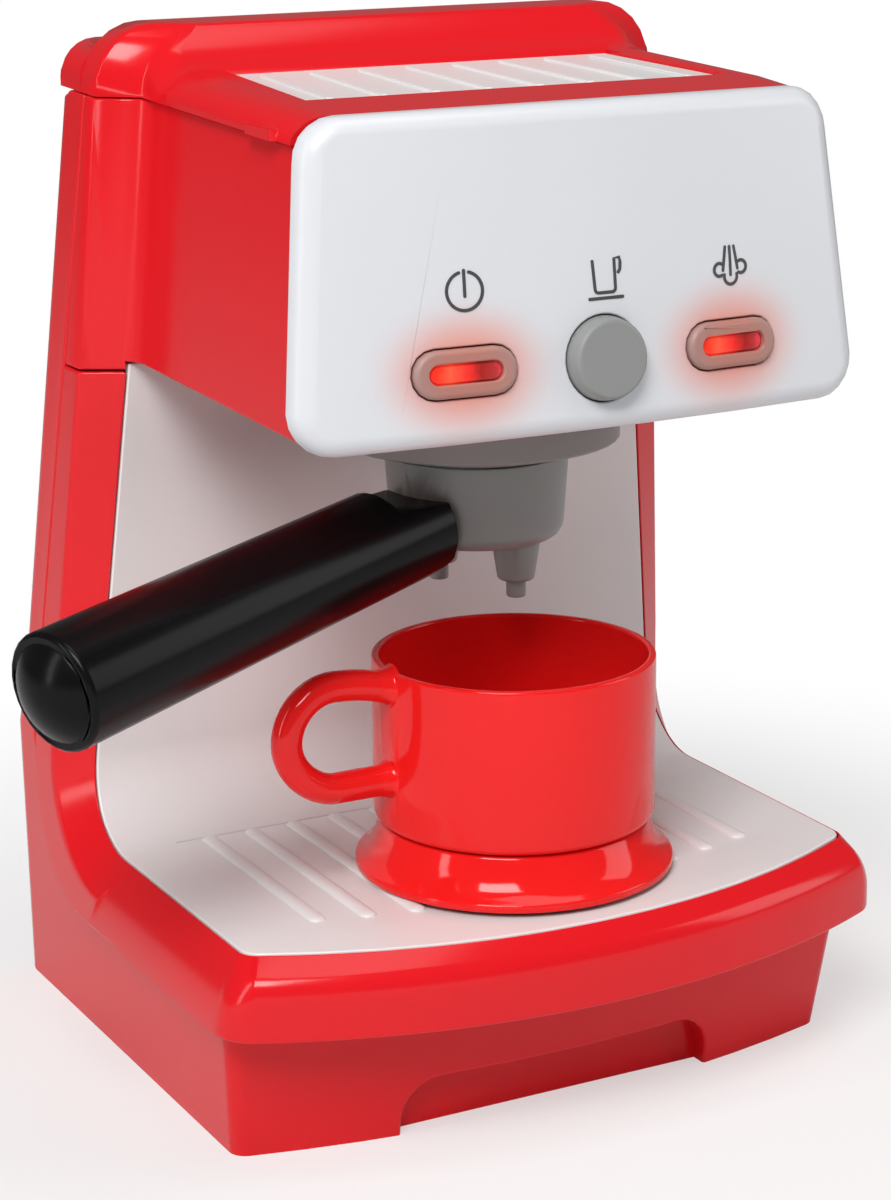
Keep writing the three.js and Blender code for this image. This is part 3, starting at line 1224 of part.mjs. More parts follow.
function makeBoard() {
  const back = BOARD_SETBACK + BOARD_THICK;
  const plate = block(-BOARD_HALF, BOARD_HALF, BOARD_SETBACK, back, BOARD_LOW, BOARD_HIGH);
  const holes = boardCorners.map(([x, height]) => {
    const hole = rod(SCREW_RADIUS + GAP, -BOARD_SETBACK - OVERRUN, OVERRUN - BOARD_SETBACK, 12);
    return solid(facingFront(hole, x, height));
  });
  return cut(solid(plate), ...holes);
}

function boardScrew(x, height) {
  const headLow = -BOARD_SETBACK - BOARD_THICK - GAP - SCREW_HEAD_HEIGHT;
  const tip = BOARD_SCREW_LENGTH - BOARD_SETBACK - BOARD_THICK - 2 * GAP;
  return solid(facingFront(screwForm(headLow, SCREW_HEAD_HEIGHT, tip), x, height));
}

// The back of a button's lip, which clears the panel's bowed inner face
function lipBack(depth) {
  const sag = PANEL_BULGE * ((OBLONG_HALF + BUTTON_LIP) / panelHalf(BUTTON_ROW)) ** 2;
  return depth - WALL - sag - GAP - BUTTON_LIP_THICK;
}

function makeOblongButton() {
  const face = sideDepth + OBLONG_PROUD;
  const lip = lipBack(sideDepth);
  const outer = [0, OBLONG_CHAMFER].map((inset, i) => {
    const depth = i === 0 ? face - OBLONG_CHAMFER : face;
    const outline = stadium(OBLONG_HALF - inset, OBLONG_RADIUS - inset);
    return outline.map(([x, z]) => new THREE.Vector3(x, -depth, z));
  });
  const base = stadium(OBLONG_HALF, OBLONG_RADIUS).map(([x, z]) => new THREE.Vector3(x, -lip, z));
  const inner = stadium(OBLONG_HALF - BUTTON_SKIN, OBLONG_RADIUS - BUTTON_SKIN);
  const lipOutline = stadium(OBLONG_HALF + BUTTON_LIP, OBLONG_RADIUS + BUTTON_LIP);
  return cut(
    join(
      solid(loft([base, ...outer])),
      solid(forward(lipOutline, lip, lip + BUTTON_LIP_THICK)),
    ),
    solid(forward(inner, lip - OVERRUN, face - BUTTON_SKIN)),
    solid(forward(stadium(LENS_HALF + GAP, LENS_RADIUS + GAP), lip, face + OVERRUN)),
  );
}

function makeLens() {
  const face = sideDepth + OBLONG_PROUD;
  const shelf = face - BUTTON_SKIN - GAP;
  return join(
    solid(forward(stadium(LENS_HALF, LENS_RADIUS), shelf - LENS_LIP, face - LENS_SINK)),
    solid(forward(stadium(LENS_HALF + LENS_LIP, LENS_RADIUS + LENS_LIP), shelf - LENS_LIP, shelf)),
  );
}

function makeRoundButton() {
  const face = roundDepth + ROUND_PROUD;
  const lip = lipBack(roundDepth);
  const faceRadius = ROUND_RADIUS - ROUND_DRAFT;
  const core = ROUND_RADIUS - BUTTON_SKIN;
  const profile = [
    [0, face], [faceRadius - ROUND_EDGE, face], [faceRadius, face - ROUND_EDGE],
    [ROUND_RADIUS, roundDepth], [ROUND_RADIUS, lip + BUTTON_LIP_THICK],
    [ROUND_RADIUS + BUTTON_LIP, lip + BUTTON_LIP_THICK], [ROUND_RADIUS + BUTTON_LIP, lip],
    [core - ROUND_EDGE, lip], [core - ROUND_EDGE, face - BUTTON_SKIN], [0, face - BUTTON_SKIN],
  ];
  return solid(facingFront(turned(profile, 32), 0, 0));
}

function makePlunger(top, x) {
  return solid(facingFront(rod(PLUNGER_RADIUS, SWITCH_FRONT - PLUNGER_ENTRY, top - GAP, 12), x, 0));
}

// The distance from the panel's rim back to the board, for a piece of a half-size at an offset
function boardReach(side, offset, half) {
  const turn = Math.abs(side) * sideTurn;
  return (BOARD_SETBACK - GAP + (offset - half) * Math.sin(turn)) / Math.cos(turn);
}

function makeSwitch(side, offset) {
  const half = SWITCH_SIZE / 2;
  const back = boardReach(side, offset, half);
  const x = -side * offset;
  const bottom = SWITCH_FRONT - SWITCH_BORE_DEPTH;
  const bore = rod(PLUNGER_RADIUS + PLUNGER_CLEARANCE, bottom, SWITCH_FRONT + OVERRUN, 12);
  return cut(
    solid(block(x - half, x + half, -SWITCH_FRONT, back, -half, half)),
    solid(facingFront(bore, x, 0)),
  );
}

function makeLed(side) {
  const back = -boardReach(side, 0, LED_RADIUS);
  const profile = [
    [0, back], [LED_RADIUS, back],
    ...arc(0, back + LED_LENGTH - LED_RADIUS, LED_RADIUS, 0, Math.PI / 2, 4).slice(0, -1),
    [0, back + LED_LENGTH],
  ];
  return solid(facingFront(turned(profile, 12), 0, 0));
}

function addControls() {
  addPiece(controls, "front_panel", makePanel(), whitePlastic());
  for (const [name, side] of [["power", -1], ["steam", 1]]) {
    const frame = frames[name];
    addPiece(frame, `${name}_button`, makeOblongButton(), greyPlastic());
    addPiece(frame, `${name}_lens`, makeLens(), lensPlastic());
    const plunger = makePlunger(lipBack(sideDepth), -side * PLUNGER_OFFSET);
    addPiece(frame, `${name}_plunger`, plunger, darkPlastic());
    addPiece(frame, `${name}_switch`, makeSwitch(side, PLUNGER_OFFSET), darkPlastic());
    addPiece(frame, `${name}_led`, makeLed(side), lensPlastic());
  }
  addPiece(frames.brew, "brew_button", makeRoundButton(), greyPlastic());
  const brewPlunger = makePlunger(roundDepth + ROUND_PROUD - BUTTON_SKIN, 0);
  addPiece(frames.brew, "brew_plunger", brewPlunger, darkPlastic());
  addPiece(frames.brew, "brew_switch", makeSwitch(0, 0), darkPlastic());
  addPiece(controls, "control_board", makeBoard(), boardLaminate());
  boardCorners.forEach(([x, height], i) => {
    addPiece(controls, `board_screw_${i + 1}`, boardScrew(x, height), steel());
  });
}

// Brew head and filter holder, both turned about the upright axis of the brew head

function makeBrewHead() {
  const top = HEAD_FLOOR_BACK + OVERRUN;
  const drum = turned([
    [0, DRUM_BORE_TOP], [DRUM_BORE, DRUM_BORE_TOP],
    [DRUM_BORE, DRUM_LIP_LOW], [DRUM_LIP_RADIUS, DRUM_LIP_LOW],
    [DRUM_RADIUS, DRUM_LOW], [DRUM_RADIUS, top], [0, top],
  ], 40, 0, BREW_Y);
  const spigot = turned([
    [0, DRUM_BORE_TOP], [SPIGOT_RADIUS, DRUM_BORE_TOP], [SPIGOT_RADIUS, TANK_LOW - GAP],
    [DRUM_BORE, TANK_LOW - GAP], [DRUM_BORE, DRUM_BORE_TOP + WALL], [0, DRUM_BORE_TOP + WALL],
  ], 32, 0, BREW_Y);
  const well = rod(DRUM_BORE, DRUM_BORE_TOP + WALL, top + OVERRUN, 32, 0, BREW_Y);
  const groove = turned([
    [COLLAR_RADIUS, BAYONET_LOW - GAP], [BAYONET_GROOVE, BAYONET_LOW - GAP],
    [BAYONET_GROOVE, BAYONET_LOW + BAYONET_THICK + GAP], [COLLAR_RADIUS, BAYONET_LOW + BAYONET_THICK + GAP],
    [COLLAR_RADIUS, BAYONET_LOW - GAP],
  ], 32, 0, BREW_Y);
  const wide = DRUM_RADIUS + OVERRUN;
  const lowered = overlap(solid(drum), solid(alongX(belowHead(-GAP), -wide, wide)));
  const entries = [-1, 1].map((side) => {
    const ends = [BREW_Y, BREW_Y + side * BAYONET_GROOVE].sort((a, b) => a - b);
    return solid(block(-LUG_HALF - GAP, LUG_HALF + GAP, ...ends, DRUM_LIP_LOW - OVERRUN, BAYONET_LOW));
  });
  return cut(join(cut(lowered, solid(well)), solid(spigot)), solid(groove), ...entries);
}

const handleAxis = new THREE.Vector3(
  -Math.sin(HANDLE_TURN) * Math.cos(HANDLE_DIP),
  -Math.cos(HANDLE_TURN) * Math.cos(HANDLE_DIP),
  -Math.sin(HANDLE_DIP),
);
const handleGroup = new THREE.Group();
handleGroup.position.set(0, BREW_Y, HANDLE_HEIGHT);
handleGroup.quaternion.setFromUnitVectors(UP, handleAxis);
handleGroup.updateMatrix();
part.add(handleGroup);

function basketRadius(height) {
  return BASKET_LOW_RADIUS + (BASKET_DRAFT * (height - BASKET_LOW)) / BASKET_HEIGHT;
}

function nozzleForm(side) {
  const x = side * NOZZLE_REACH * Math.sin(NOZZLE_TURN);
  const y = BREW_Y - side * NOZZLE_REACH * Math.cos(NOZZLE_TURN);
  const profile = [
    [0, BASKET_LOW + WALL / 2], [NOZZLE_RADIUS, BASKET_LOW + WALL / 2], [NOZZLE_RADIUS, BASKET_LOW],
    [NOZZLE_NECK_RADIUS, NOZZLE_NECK], [TIP_RADIUS, NOZZLE_NECK - GAP], [TIP_RADIUS, TIP_LOW],
    [TIP_HOLE_RADIUS, TIP_LOW], [TIP_HOLE_RADIUS, TIP_LOW + TIP_HOLE_DEPTH], [0, TIP_LOW + TIP_HOLE_DEPTH],
  ];
  return solid(turned(profile, 16, x, y));
}

function makeFilterHolder() {
  const inner = COLLAR_RADIUS - COLLAR_WALL;
  const round = BASKET_LOW_RADIUS - BASKET_ROUNDING;
  const bowl = turned([
    [0, BASKET_LOW],
    ...arc(round, BASKET_LOW + BASKET_ROUNDING, BASKET_ROUNDING, -Math.PI / 2, 0, 4),
    [BASKET_TOP_RADIUS, BASKET_TOP], [COLLAR_RADIUS, BASKET_TOP], [COLLAR_RADIUS, COLLAR_TOP],
    [inner, COLLAR_TOP], [inner, BASKET_LOW + WALL], [0, BASKET_LOW + WALL],
  ], 32, 0, BREW_Y);
  const lugs = [-1, 1].map((side) => {
    const ends = [BREW_Y + side * (COLLAR_RADIUS - COLLAR_WALL / 2), BREW_Y + side * LUG_REACH];
    ends.sort((a, b) => a - b);
    return solid(block(-LUG_HALF, LUG_HALF, ...ends, BAYONET_LOW, BAYONET_LOW + BAYONET_THICK));
  });
  const tang = cut(
    solid(rod(TANG_RADIUS, TANG_START, TANG_END, 16), handleGroup.matrix),
    solid(screwHole(TANG_END - HANDLE_SCREW_BITE - GAP, TANG_END + OVERRUN), handleGroup.matrix),
    solid(rod(inner, BASKET_LOW, COLLAR_TOP, 32, 0, BREW_Y)),
  );
  return join(solid(bowl), ...lugs, nozzleForm(-1), nozzleForm(1), tang);
}

function makeHandle() {
  const bore = SCREW_RADIUS + GAP;
  const seat = CAP_RADIUS + CAP_GROOVE;
  const grip = turned([
    [TANG_RADIUS + GAP, HANDLE_ROOT], [HANDLE_ROOT_RADIUS, HANDLE_ROOT], [HANDLE_NECK_RADIUS, HANDLE_NECK],
    ...arc(HANDLE_END_RADIUS - HANDLE_RIM, HANDLE_END, HANDLE_RIM, 0, Math.PI / 2, HANDLE_RIM_STEPS),
    [seat, HANDLE_END + HANDLE_RIM], [seat, HANDLE_END + HANDLE_RIM - CAP_SEAT_DEPTH],
    [HANDLE_BORE_RADIUS, HANDLE_END + HANDLE_RIM - CAP_SEAT_DEPTH], [HANDLE_BORE_RADIUS, HANDLE_BORE_START],
    [bore, HANDLE_BORE_START], [bore, TANG_END + GAP],
    [TANG_RADIUS + GAP, TANG_END + GAP], [TANG_RADIUS + GAP, HANDLE_ROOT],
  ], 28);
  const toHandle = handleGroup.matrix.clone().invert();
  const basket = turned([
    [0, BASKET_LOW - 2 * OVERRUN], [basketRadius(BASKET_LOW) + GAP, BASKET_LOW - 2 * OVERRUN],
    [basketRadius(BASKET_LOW) + GAP, BASKET_LOW], [BASKET_TOP_RADIUS + GAP, BASKET_TOP],
    [BASKET_TOP_RADIUS + GAP, DRUM_LOW], [0, DRUM_LOW],
  ], 32, 0, BREW_Y);
  const scoop = rod(SCOOP_RADIUS, SCOOP_HEIGHT, SCOOP_HEIGHT + 3 * OVERRUN, 40, 0, BREW_Y);
  return cut(solid(grip), solid(basket, toHandle), solid(scoop, toHandle));
}

function makeHandleScrew() {
  const headLow = -HANDLE_BORE_START - SCREW_HEAD_HEIGHT - GAP;
  const screw = screwForm(headLow, SCREW_HEAD_HEIGHT, HANDLE_SCREW_BITE - TANG_END);
  return solid(screw.rotateX(Math.PI));
}

function makeEndCap() {
  const plug = HANDLE_BORE_RADIUS - GAP;
  const base = HANDLE_END + HANDLE_RIM - CAP_SEAT_DEPTH + GAP;
  const shoulder = base + CAP_RIM;
  const domeRadius = (CAP_RADIUS * CAP_RADIUS + CAP_DOME * CAP_DOME) / (2 * CAP_DOME);
  const turn = Math.asin(CAP_RADIUS / domeRadius);
  const centre = shoulder + CAP_DOME - domeRadius;
  const dome = arc(0, centre, domeRadius, Math.PI / 2 - turn, Math.PI / 2, CAP_STEPS).slice(0, -1);
  return solid(turned([
    [0, base - CAP_PLUG_LENGTH], [plug, base - CAP_PLUG_LENGTH], [plug, base],
    [CAP_RADIUS, base], ...dome, [0, shoulder + CAP_DOME],
  ], 28));
}

// Cup and saucer

function makeCup() {
  const inner = CUP_RADIUS - CUP_WALL;
  const floor = CUP_LOW + CUP_FLOOR;
  const bowl = turned([
    [0, CUP_LOW], [CUP_FOOT_RADIUS - CUP_WALL, CUP_LOW], [CUP_FOOT_RADIUS - CUP_WALL, CUP_LOW - CUP_FOOT],
    [CUP_FOOT_RADIUS, CUP_LOW - CUP_FOOT], [CUP_FOOT_RADIUS, CUP_LOW], [CUP_RADIUS - CUP_EDGE, CUP_LOW],
    [CUP_RADIUS, CUP_LOW + CUP_EDGE], [CUP_RADIUS, CUP_TOP], [inner, CUP_TOP],
    [inner, floor + CUP_EDGE], [inner - CUP_EDGE, floor], [0, floor],
  ], 40, CUP_X, CUP_Y);
  const wallX = CUP_X - CUP_RADIUS + CUP_WALL / 2;
  const route = new THREE.CurvePath();
  const at = (x, z) => new THREE.Vector3(x, CUP_Y, z);
  const bulge = LOOP_RADIUS * (4 / 3) * Math.tan(Math.PI / 8);
  const top = LOOP_CENTRE_HEIGHT + LOOP_RADIUS;
  const low = LOOP_CENTRE_HEIGHT - LOOP_RADIUS;
  const far = LOOP_CENTRE_X - LOOP_RADIUS;
  route.add(new THREE.LineCurve3(at(wallX, top - LOOP_FALL), at(LOOP_CENTRE_X, top)));
  route.add(new THREE.CubicBezierCurve3(
    at(LOOP_CENTRE_X, top), at(LOOP_CENTRE_X - bulge, top),
    at(far, LOOP_CENTRE_HEIGHT + bulge), at(far, LOOP_CENTRE_HEIGHT),
  ));
  route.add(new THREE.CubicBezierCurve3(
    at(far, LOOP_CENTRE_HEIGHT), at(far, LOOP_CENTRE_HEIGHT - bulge),
    at(LOOP_CENTRE_X - bulge, low), at(LOOP_CENTRE_X, low),
  ));
  route.add(new THREE.LineCurve3(at(LOOP_CENTRE_X, low), at(wallX, low)));
  const round = arc(0, 0, LOOP_SECTION, 0, 2 * Math.PI, 12).slice(1);
  const section = new THREE.Shape(round.map(([u, v]) => new THREE.Vector2(u, v)));
  const loop = new THREE.ExtrudeGeometry(section, { steps: 24, extrudePath: route });
  const inside = rod(inner, floor + CUP_EDGE, CUP_TOP + OVERRUN, 40, CUP_X, CUP_Y);
  return join(solid(bowl), cut(solid(loop), solid(inside)));
}

function makeSaucer() {
  const low = EDGE_CURVE.level + RIB_RISE + GAP;
  const outer = SAUCER_CURVE_SHARES.map(([inward, upward]) => [
    SAUCER_RADIUS - (SAUCER_RADIUS - SAUCER_TOP_RADIUS) * inward,
    low + SAUCER_LIP + (SAUCER_TOP - low - SAUCER_LIP) * upward,
  ]);
  const well = CUP_LOW - CUP_FOOT - GAP;
  const wellRadius = CUP_FOOT_RADIUS + GAP;
  const inner = outer.map(([radius, height]) => [radius - SAUCER_WALL, height - SAUCER_WALL / 2]);
  return solid(turned([
    [0, well], [wellRadius, well], [wellRadius, SAUCER_TOP], [SAUCER_TOP_RADIUS, SAUCER_TOP],
    ...outer.toReversed(), [SAUCER_RADIUS, low + SAUCER_LIP],
    [SAUCER_RADIUS, low], [SAUCER_RADIUS - SAUCER_WALL, low],
    ...inner, [SAUCER_TOP_RADIUS - SAUCER_WALL, well - SAUCER_WALL], [0, well - SAUCER_WALL],
  ], 40, CUP_X, CUP_Y));
}

// Battery compartment, speaker and housing screws

function makeDoor() {
  const high = DOOR_RECESS + DOOR_THICK;
  const plate = block(
    GAP - bayHalfX - DOOR_LEDGE, bayHalfX + DOOR_LEDGE - GAP, doorFront + GAP, bayBack + DOOR_LEDGE - GAP,
    DOOR_RECESS, high,
  );
  return cut(
    solid(plate),
    solid(screwHole(0, high + OVERRUN, 0, doorScrewY)),
    solid(headHole(0, DOOR_RECESS + DOOR_SCREW_HEAD_HEIGHT + GAP, 0, doorScrewY)),
  );
}

function addBase() {
  addPiece(part, "battery_door", makeDoor(), redPlastic());
  const doorTip = DOOR_RECESS + DOOR_SCREW_LENGTH;
  const doorScrew = screwForm(DOOR_RECESS, DOOR_SCREW_HEAD_HEIGHT, doorTip, 0, doorScrewY);
  addPiece(part, "battery_door_screw", solid(doorScrew), steel());
  [-1, 1].forEach((side, i) => {
    const y = BAY_CENTRE_Y + side * (CELL_RADIUS + GAP / 2);
    const cell = rod(CELL_RADIUS, -CELL_LENGTH / 2, CELL_LENGTH / 2, 24).rotateY(Math.PI / 2);
    cell.translate(0, y, cellLow + CELL_RADIUS);
    addPiece(part, `battery_cell_${i + 1}`, solid(cell), darkPlastic());
    const near = CELL_LENGTH / 2 + GAP;
    const ends = [side * near, side * (near + CONTACT_THICK)].sort((a, b) => a - b);
    const low = cellLow + CELL_RADIUS - CONTACT_HEIGHT / 2;
    const contact = block(...ends, bayFront + GAP, bayBack - GAP, low, low + CONTACT_HEIGHT);
    addPiece(part, `battery_contact_${i + 1}`, solid(contact), steel());
  });
  const speakerLow = FLOOR + GAP;
  const core = SPEAKER_RADIUS * SPEAKER_CORE_SHARE;
  const speaker = turned([
    [0, speakerLow], [SPEAKER_RADIUS, speakerLow], [SPEAKER_RADIUS, speakerLow + SPEAKER_HEIGHT / 3],
    [core, speakerLow + (2 * SPEAKER_HEIGHT) / 3], [core, speakerLow + SPEAKER_HEIGHT],
    [0, speakerLow + SPEAKER_HEIGHT],
  ], 24, 0, SPEAKER_Y);
  addPiece(part, "speaker", solid(speaker), darkPlastic());
  const tip = SEAM_CURVE.level + LUG_HEIGHT - LUG_FLOOR - GAP;
  basePosts.forEach(([x, y], i) => {
    const screw = screwForm(postPocket - GAP - SCREW_HEAD_HEIGHT, SCREW_HEAD_HEIGHT, tip, x, y);
    addPiece(part, `housing_screw_${i + 1}`, solid(screw), steel());
  });
  [-1, 1].forEach((side, i) => {
    const headLow = -lugFace - GAP - POST_WEB - GAP - SCREW_HEAD_HEIGHT;
    const screw = screwForm(headLow, SCREW_HEAD_HEIGHT, HEAD_LUG_DEPTH - LUG_FLOOR - lugFace - GAP);
    addPiece(part, `housing_screw_${i + 5}`, solid(laidToFront(screw, side * HEAD_POST_X)), steel());
  });
}

// Assembly

addPiece(part, "rear_housing", makeRearShell(), redPlastic());
addPiece(part, "front_frame", makeFrame(), redPlastic());
addPiece(part, "tray_liner", makeLiner(), whitePlastic());
addPiece(part, "head_housing", makeHead(), redPlastic());
addPiece(part, "top_lid", makeLid(), redPlastic());
addPiece(part, "cup_warmer_plate", makeCupPlate(), whitePlastic());
addPiece(part, "lid_hinge_pin_left", hingePin(-EAR_X), steel());
addPiece(part, "lid_hinge_pin_right", hingePin(EAR_X), steel());
addPiece(part, "water_tank", makeTank(), tankPlastic());
addControls();
addPiece(part, "brew_head", makeBrewHead(), greyPlastic());
addPiece(part, "filter_holder", makeFilterHolder(), greyPlastic());
addPiece(handleGroup, "portafilter_handle", makeHandle(), blackPlastic());
addPiece(handleGroup, "handle_screw", makeHandleScrew(), steel());
addPiece(handleGroup, "handle_end_cap", makeEndCap(), blackPlastic());
addBase();
addPiece(part, "cup", makeCup(), cupPlastic());
addPiece(part, "saucer", makeSaucer(), cupPlastic());

export default part;
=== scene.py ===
from math import acos, asin, atan2, cos, pi, radians, sin, tan, tau

import bmesh
import bpy
from mathutils import Matrix, Vector


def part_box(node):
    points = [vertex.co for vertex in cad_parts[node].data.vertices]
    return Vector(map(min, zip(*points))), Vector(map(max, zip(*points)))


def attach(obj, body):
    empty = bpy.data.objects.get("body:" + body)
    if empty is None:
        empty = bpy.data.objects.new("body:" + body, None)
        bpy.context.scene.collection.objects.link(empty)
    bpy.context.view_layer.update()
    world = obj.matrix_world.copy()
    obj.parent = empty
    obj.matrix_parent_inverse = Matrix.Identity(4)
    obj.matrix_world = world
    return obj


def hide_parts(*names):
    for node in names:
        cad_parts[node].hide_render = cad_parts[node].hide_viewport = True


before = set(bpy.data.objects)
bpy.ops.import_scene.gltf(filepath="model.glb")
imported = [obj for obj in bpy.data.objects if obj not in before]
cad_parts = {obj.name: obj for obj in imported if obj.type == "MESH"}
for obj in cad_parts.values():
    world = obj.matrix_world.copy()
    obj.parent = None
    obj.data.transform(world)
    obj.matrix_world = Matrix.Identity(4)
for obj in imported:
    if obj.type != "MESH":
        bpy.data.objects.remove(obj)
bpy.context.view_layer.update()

# Camera
# It stands in front of the machine, to its left and a little above the cup, where the photograph
# was taken from, and it is turned by half a degree, as that picture is.
camera_place = Vector((-0.3027, -0.5764, 0.2796))
camera_back = Vector((-0.4518, -0.8510, 0.2675)).normalized()
camera_roll = radians(-0.477)
film_width = 36
focal_length = 90.22
picture_height = 1200
off_centre = (-4.19, 4.35)
level_right = Vector((0, 0, 1)).cross(camera_back).normalized()
level_up = camera_back.cross(level_right)
camera_right = cos(camera_roll) * level_right + sin(camera_roll) * level_up
camera_up = -sin(camera_roll) * level_right + cos(camera_roll) * level_up
bpy.ops.object.camera_add()
camera = bpy.context.object
turn = Matrix((camera_right, camera_up, camera_back)).transposed().to_4x4()
camera.matrix_world = Matrix.Translation(camera_place) @ turn
camera.data.sensor_width = film_width
camera.data.lens = focal_length
camera.data.shift_x = off_centre[0] / picture_height
camera.data.shift_y = off_centre[1] / picture_height
camera.data.dof.use_dof = False
bpy.context.scene.camera = camera
bpy.context.scene.view_settings.view_transform = "Standard"

# Floor and light
# A white sweep under the machine, lit by a wide key from the front left, a fill from the right
# and a soft box above. The sweep keeps the shadow, and the white behind it is the world's colour.
sweep_size = 8
shadow_reach = 0.12
shadow_share = 0.5
white_reach = 0.3
room_light = 0.13
bpy.ops.object.select_all(action="DESELECT")
bpy.ops.mesh.primitive_plane_add(size=sweep_size)
floor = bpy.context.object
floor.name = "floor"
floor_material = bpy.data.materials.new("white_sweep")
floor_material.use_nodes = True
nodes = floor_material.node_tree.nodes
links = floor_material.node_tree.links
floor_shader = nodes["Principled BSDF"]
floor_shader.inputs["Base Color"].default_value = (0.82, 0.82, 0.82, 1)
floor_shader.inputs["Roughness"].default_value = 0.9
floor_shader.inputs["Specular IOR Level"].default_value = 0.1
glow = nodes.new("ShaderNodeEmission")
glow.inputs["Color"].default_value = (1, 1, 1, 1)
glow.inputs["Strength"].default_value = 1
blend = nodes.new("ShaderNodeMixShader")
path = nodes.new("ShaderNodeLightPath")
place = nodes.new("ShaderNodeTexCoord")
away = nodes.new("ShaderNodeVectorMath")
away.operation = "LENGTH"
fade = nodes.new("ShaderNodeMapRange")
fade.interpolation_type = "SMOOTHSTEP"
fade.inputs["From Min"].default_value = shadow_reach
fade.inputs["From Max"].default_value = white_reach
fade.inputs["To Min"].default_value = shadow_share
fade.inputs["To Max"].default_value = 1
share = nodes.new("ShaderNodeMath")
share.operation = "MULTIPLY"
links.new(place.outputs["Object"], away.inputs[0])
links.new(away.outputs["Value"], fade.inputs["Value"])
links.new(fade.outputs["Result"], share.inputs[1])
links.new(path.outputs["Is Camera Ray"], share.inputs[0])
links.new(share.outputs[0], blend.inputs["Fac"])
links.new(floor_shader.outputs[0], blend.inputs[1])
links.new(glow.outputs[0], blend.inputs[2])
links.new(blend.outputs[0], nodes["Material Output"].inputs["Surface"])
floor.data.materials.append(floor_material)

world = bpy.data.worlds.new("studio")
bpy.context.scene.world = world
world.use_nodes = True
nodes = world.node_tree.nodes
links = world.node_tree.links
room = nodes["Background"]
room.inputs["Color"].default_value = (1, 1, 1, 1)
room.inputs["Strength"].default_value = room_light
backdrop = nodes.new("ShaderNodeBackground")
backdrop.inputs["Color"].default_value = (1, 1, 1, 1)
backdrop.inputs["Strength"].default_value = 1
path = nodes.new("ShaderNodeLightPath")
choose = nodes.new("ShaderNodeMixShader")
links.new(path.outputs["Is Camera Ray"], choose.inputs["Fac"])
links.new(room.outputs[0], choose.inputs[1])
links.new(backdrop.outputs[0], choose.inputs[2])
links.new(choose.outputs[0], nodes["World Output"].inputs["Surface"])

studio_lamps = [
    ("key", (-0.85, -0.95, 1.35), 0.8, 0.7, 26),
    ("fill", (1.3, -0.7, 0.6), 0.7, 0.9, 5),
    ("soft_box", (0.1, -0.25, 1.5), 0.9, 0.7, 5),
    ("side_strip", (-1.5, -0.1, 0.6), 0.2, 1.1, 4),
]
machine_middle = Vector((0, -0.01, 0.12))
for name, place, width, height, power in studio_lamps:
    bpy.ops.object.light_add(type="AREA", location=place)
    lamp = bpy.context.object
    lamp.name = name
    lamp.data.shape = "RECTANGLE"
    lamp.data.size = width
    lamp.data.size_y = height
    lamp.data.energy = power
    lamp.rotation_mode = "QUATERNION"
    lamp.rotation_quaternion = (machine_middle - Vector(place)).to_track_quat("-Z", "Y")

# Rear shell
# The red shell that makes the back, the sides and the tub of the base, moulded in glossy ABS
# with a little draft, so that its walls lean in. Six screws hold the other mouldings to it.


def clear_selection():
    """Leaves object mode with nothing selected."""
    if bpy.context.object and bpy.context.object.mode != "OBJECT":
        bpy.ops.object.mode_set(mode="OBJECT")
    bpy.ops.object.select_all(action="DESELECT")


def take_up(piece):
    """Selects one piece alone."""
    clear_selection()
    piece.select_set(True)
    bpy.context.view_layer.objects.active = piece


def moulded_plastic(
    name, colour, roughness, grain=0.00002, grain_scale=900, clouding=0.03, shine=0.5,
):
    """Plastic from a polished mould: a faint grain, and tone and gloss that wander a little."""
    material = bpy.data.materials.new(name)
    material.use_nodes = True
    nodes = material.node_tree.nodes
    links = material.node_tree.links
    shader = nodes["Principled BSDF"]
    shader.inputs["Specular IOR Level"].default_value = shine
    place = nodes.new("ShaderNodeTexCoord")
    cloud = nodes.new("ShaderNodeTexNoise")
    cloud.inputs["Scale"].default_value = 22
    cloud.inputs["Detail"].default_value = 3
    tone = nodes.new("ShaderNodeMix")
    tone.name = "tone"
    tone.data_type = "RGBA"
    tone.inputs[6].default_value = (*[c * (1 - clouding) for c in colour], 1)
    tone.inputs[7].default_value = (*[min(1, c * (1 + clouding)) for c in colour], 1)
    fine = nodes.new("ShaderNodeTexNoise")
    fine.inputs["Scale"].default_value = grain_scale
    fine.inputs["Detail"].default_value = 4
    gloss = nodes.new("ShaderNodeMapRange")
    gloss.inputs["To Min"].default_value = roughness * 0.88
    gloss.inputs["To Max"].default_value = roughness * 1.12
    bump = nodes.new("ShaderNodeBump")
    bump.inputs["Strength"].default_value = 0.4
    bump.inputs["Distance"].default_value = grain
    links.new(place.outputs["Object"], cloud.inputs["Vector"])
    links.new(place.outputs["Object"], fine.inputs["Vector"])
    links.new(cloud.outputs["Fac"], tone.inputs[0])
    links.new(tone.outputs[2], shader.inputs["Base Color"])
    links.new(cloud.outputs["Fac"], gloss.inputs["Value"])
    links.new(gloss.outputs["Result"], shader.inputs["Roughness"])
    links.new(fine.outputs["Fac"], bump.inputs["Height"])
    links.new(bump.outputs["Normal"], shader.inputs["Normal"])
    return material


def finish_piece(piece, name, body, material, stands_for=()):
    """Names a piece, gives it its material and sets it on its body."""
    piece.name = name
    piece.data.name = name
    piece.data.materials.clear()
    piece.data.materials.append(material)
    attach(piece, body)
    if stands_for:
        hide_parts(*stands_for)


def has_room(loop, width):
    """True where a face is wide enough beside an edge for that edge to be rounded."""
    too_sharp = radians(35)
    nearly_straight = radians(150)
    least_side = 1.7 * width
    corners = [(loop, loop.link_loop_prev.edge), (loop.link_loop_next, loop.link_loop_next.edge)]
    for corner, side in corners:
        opening = corner.calc_angle()
        if opening < too_sharp:
            return False
        if opening < nearly_straight and side.calc_length() < least_side:
            return False
    return True


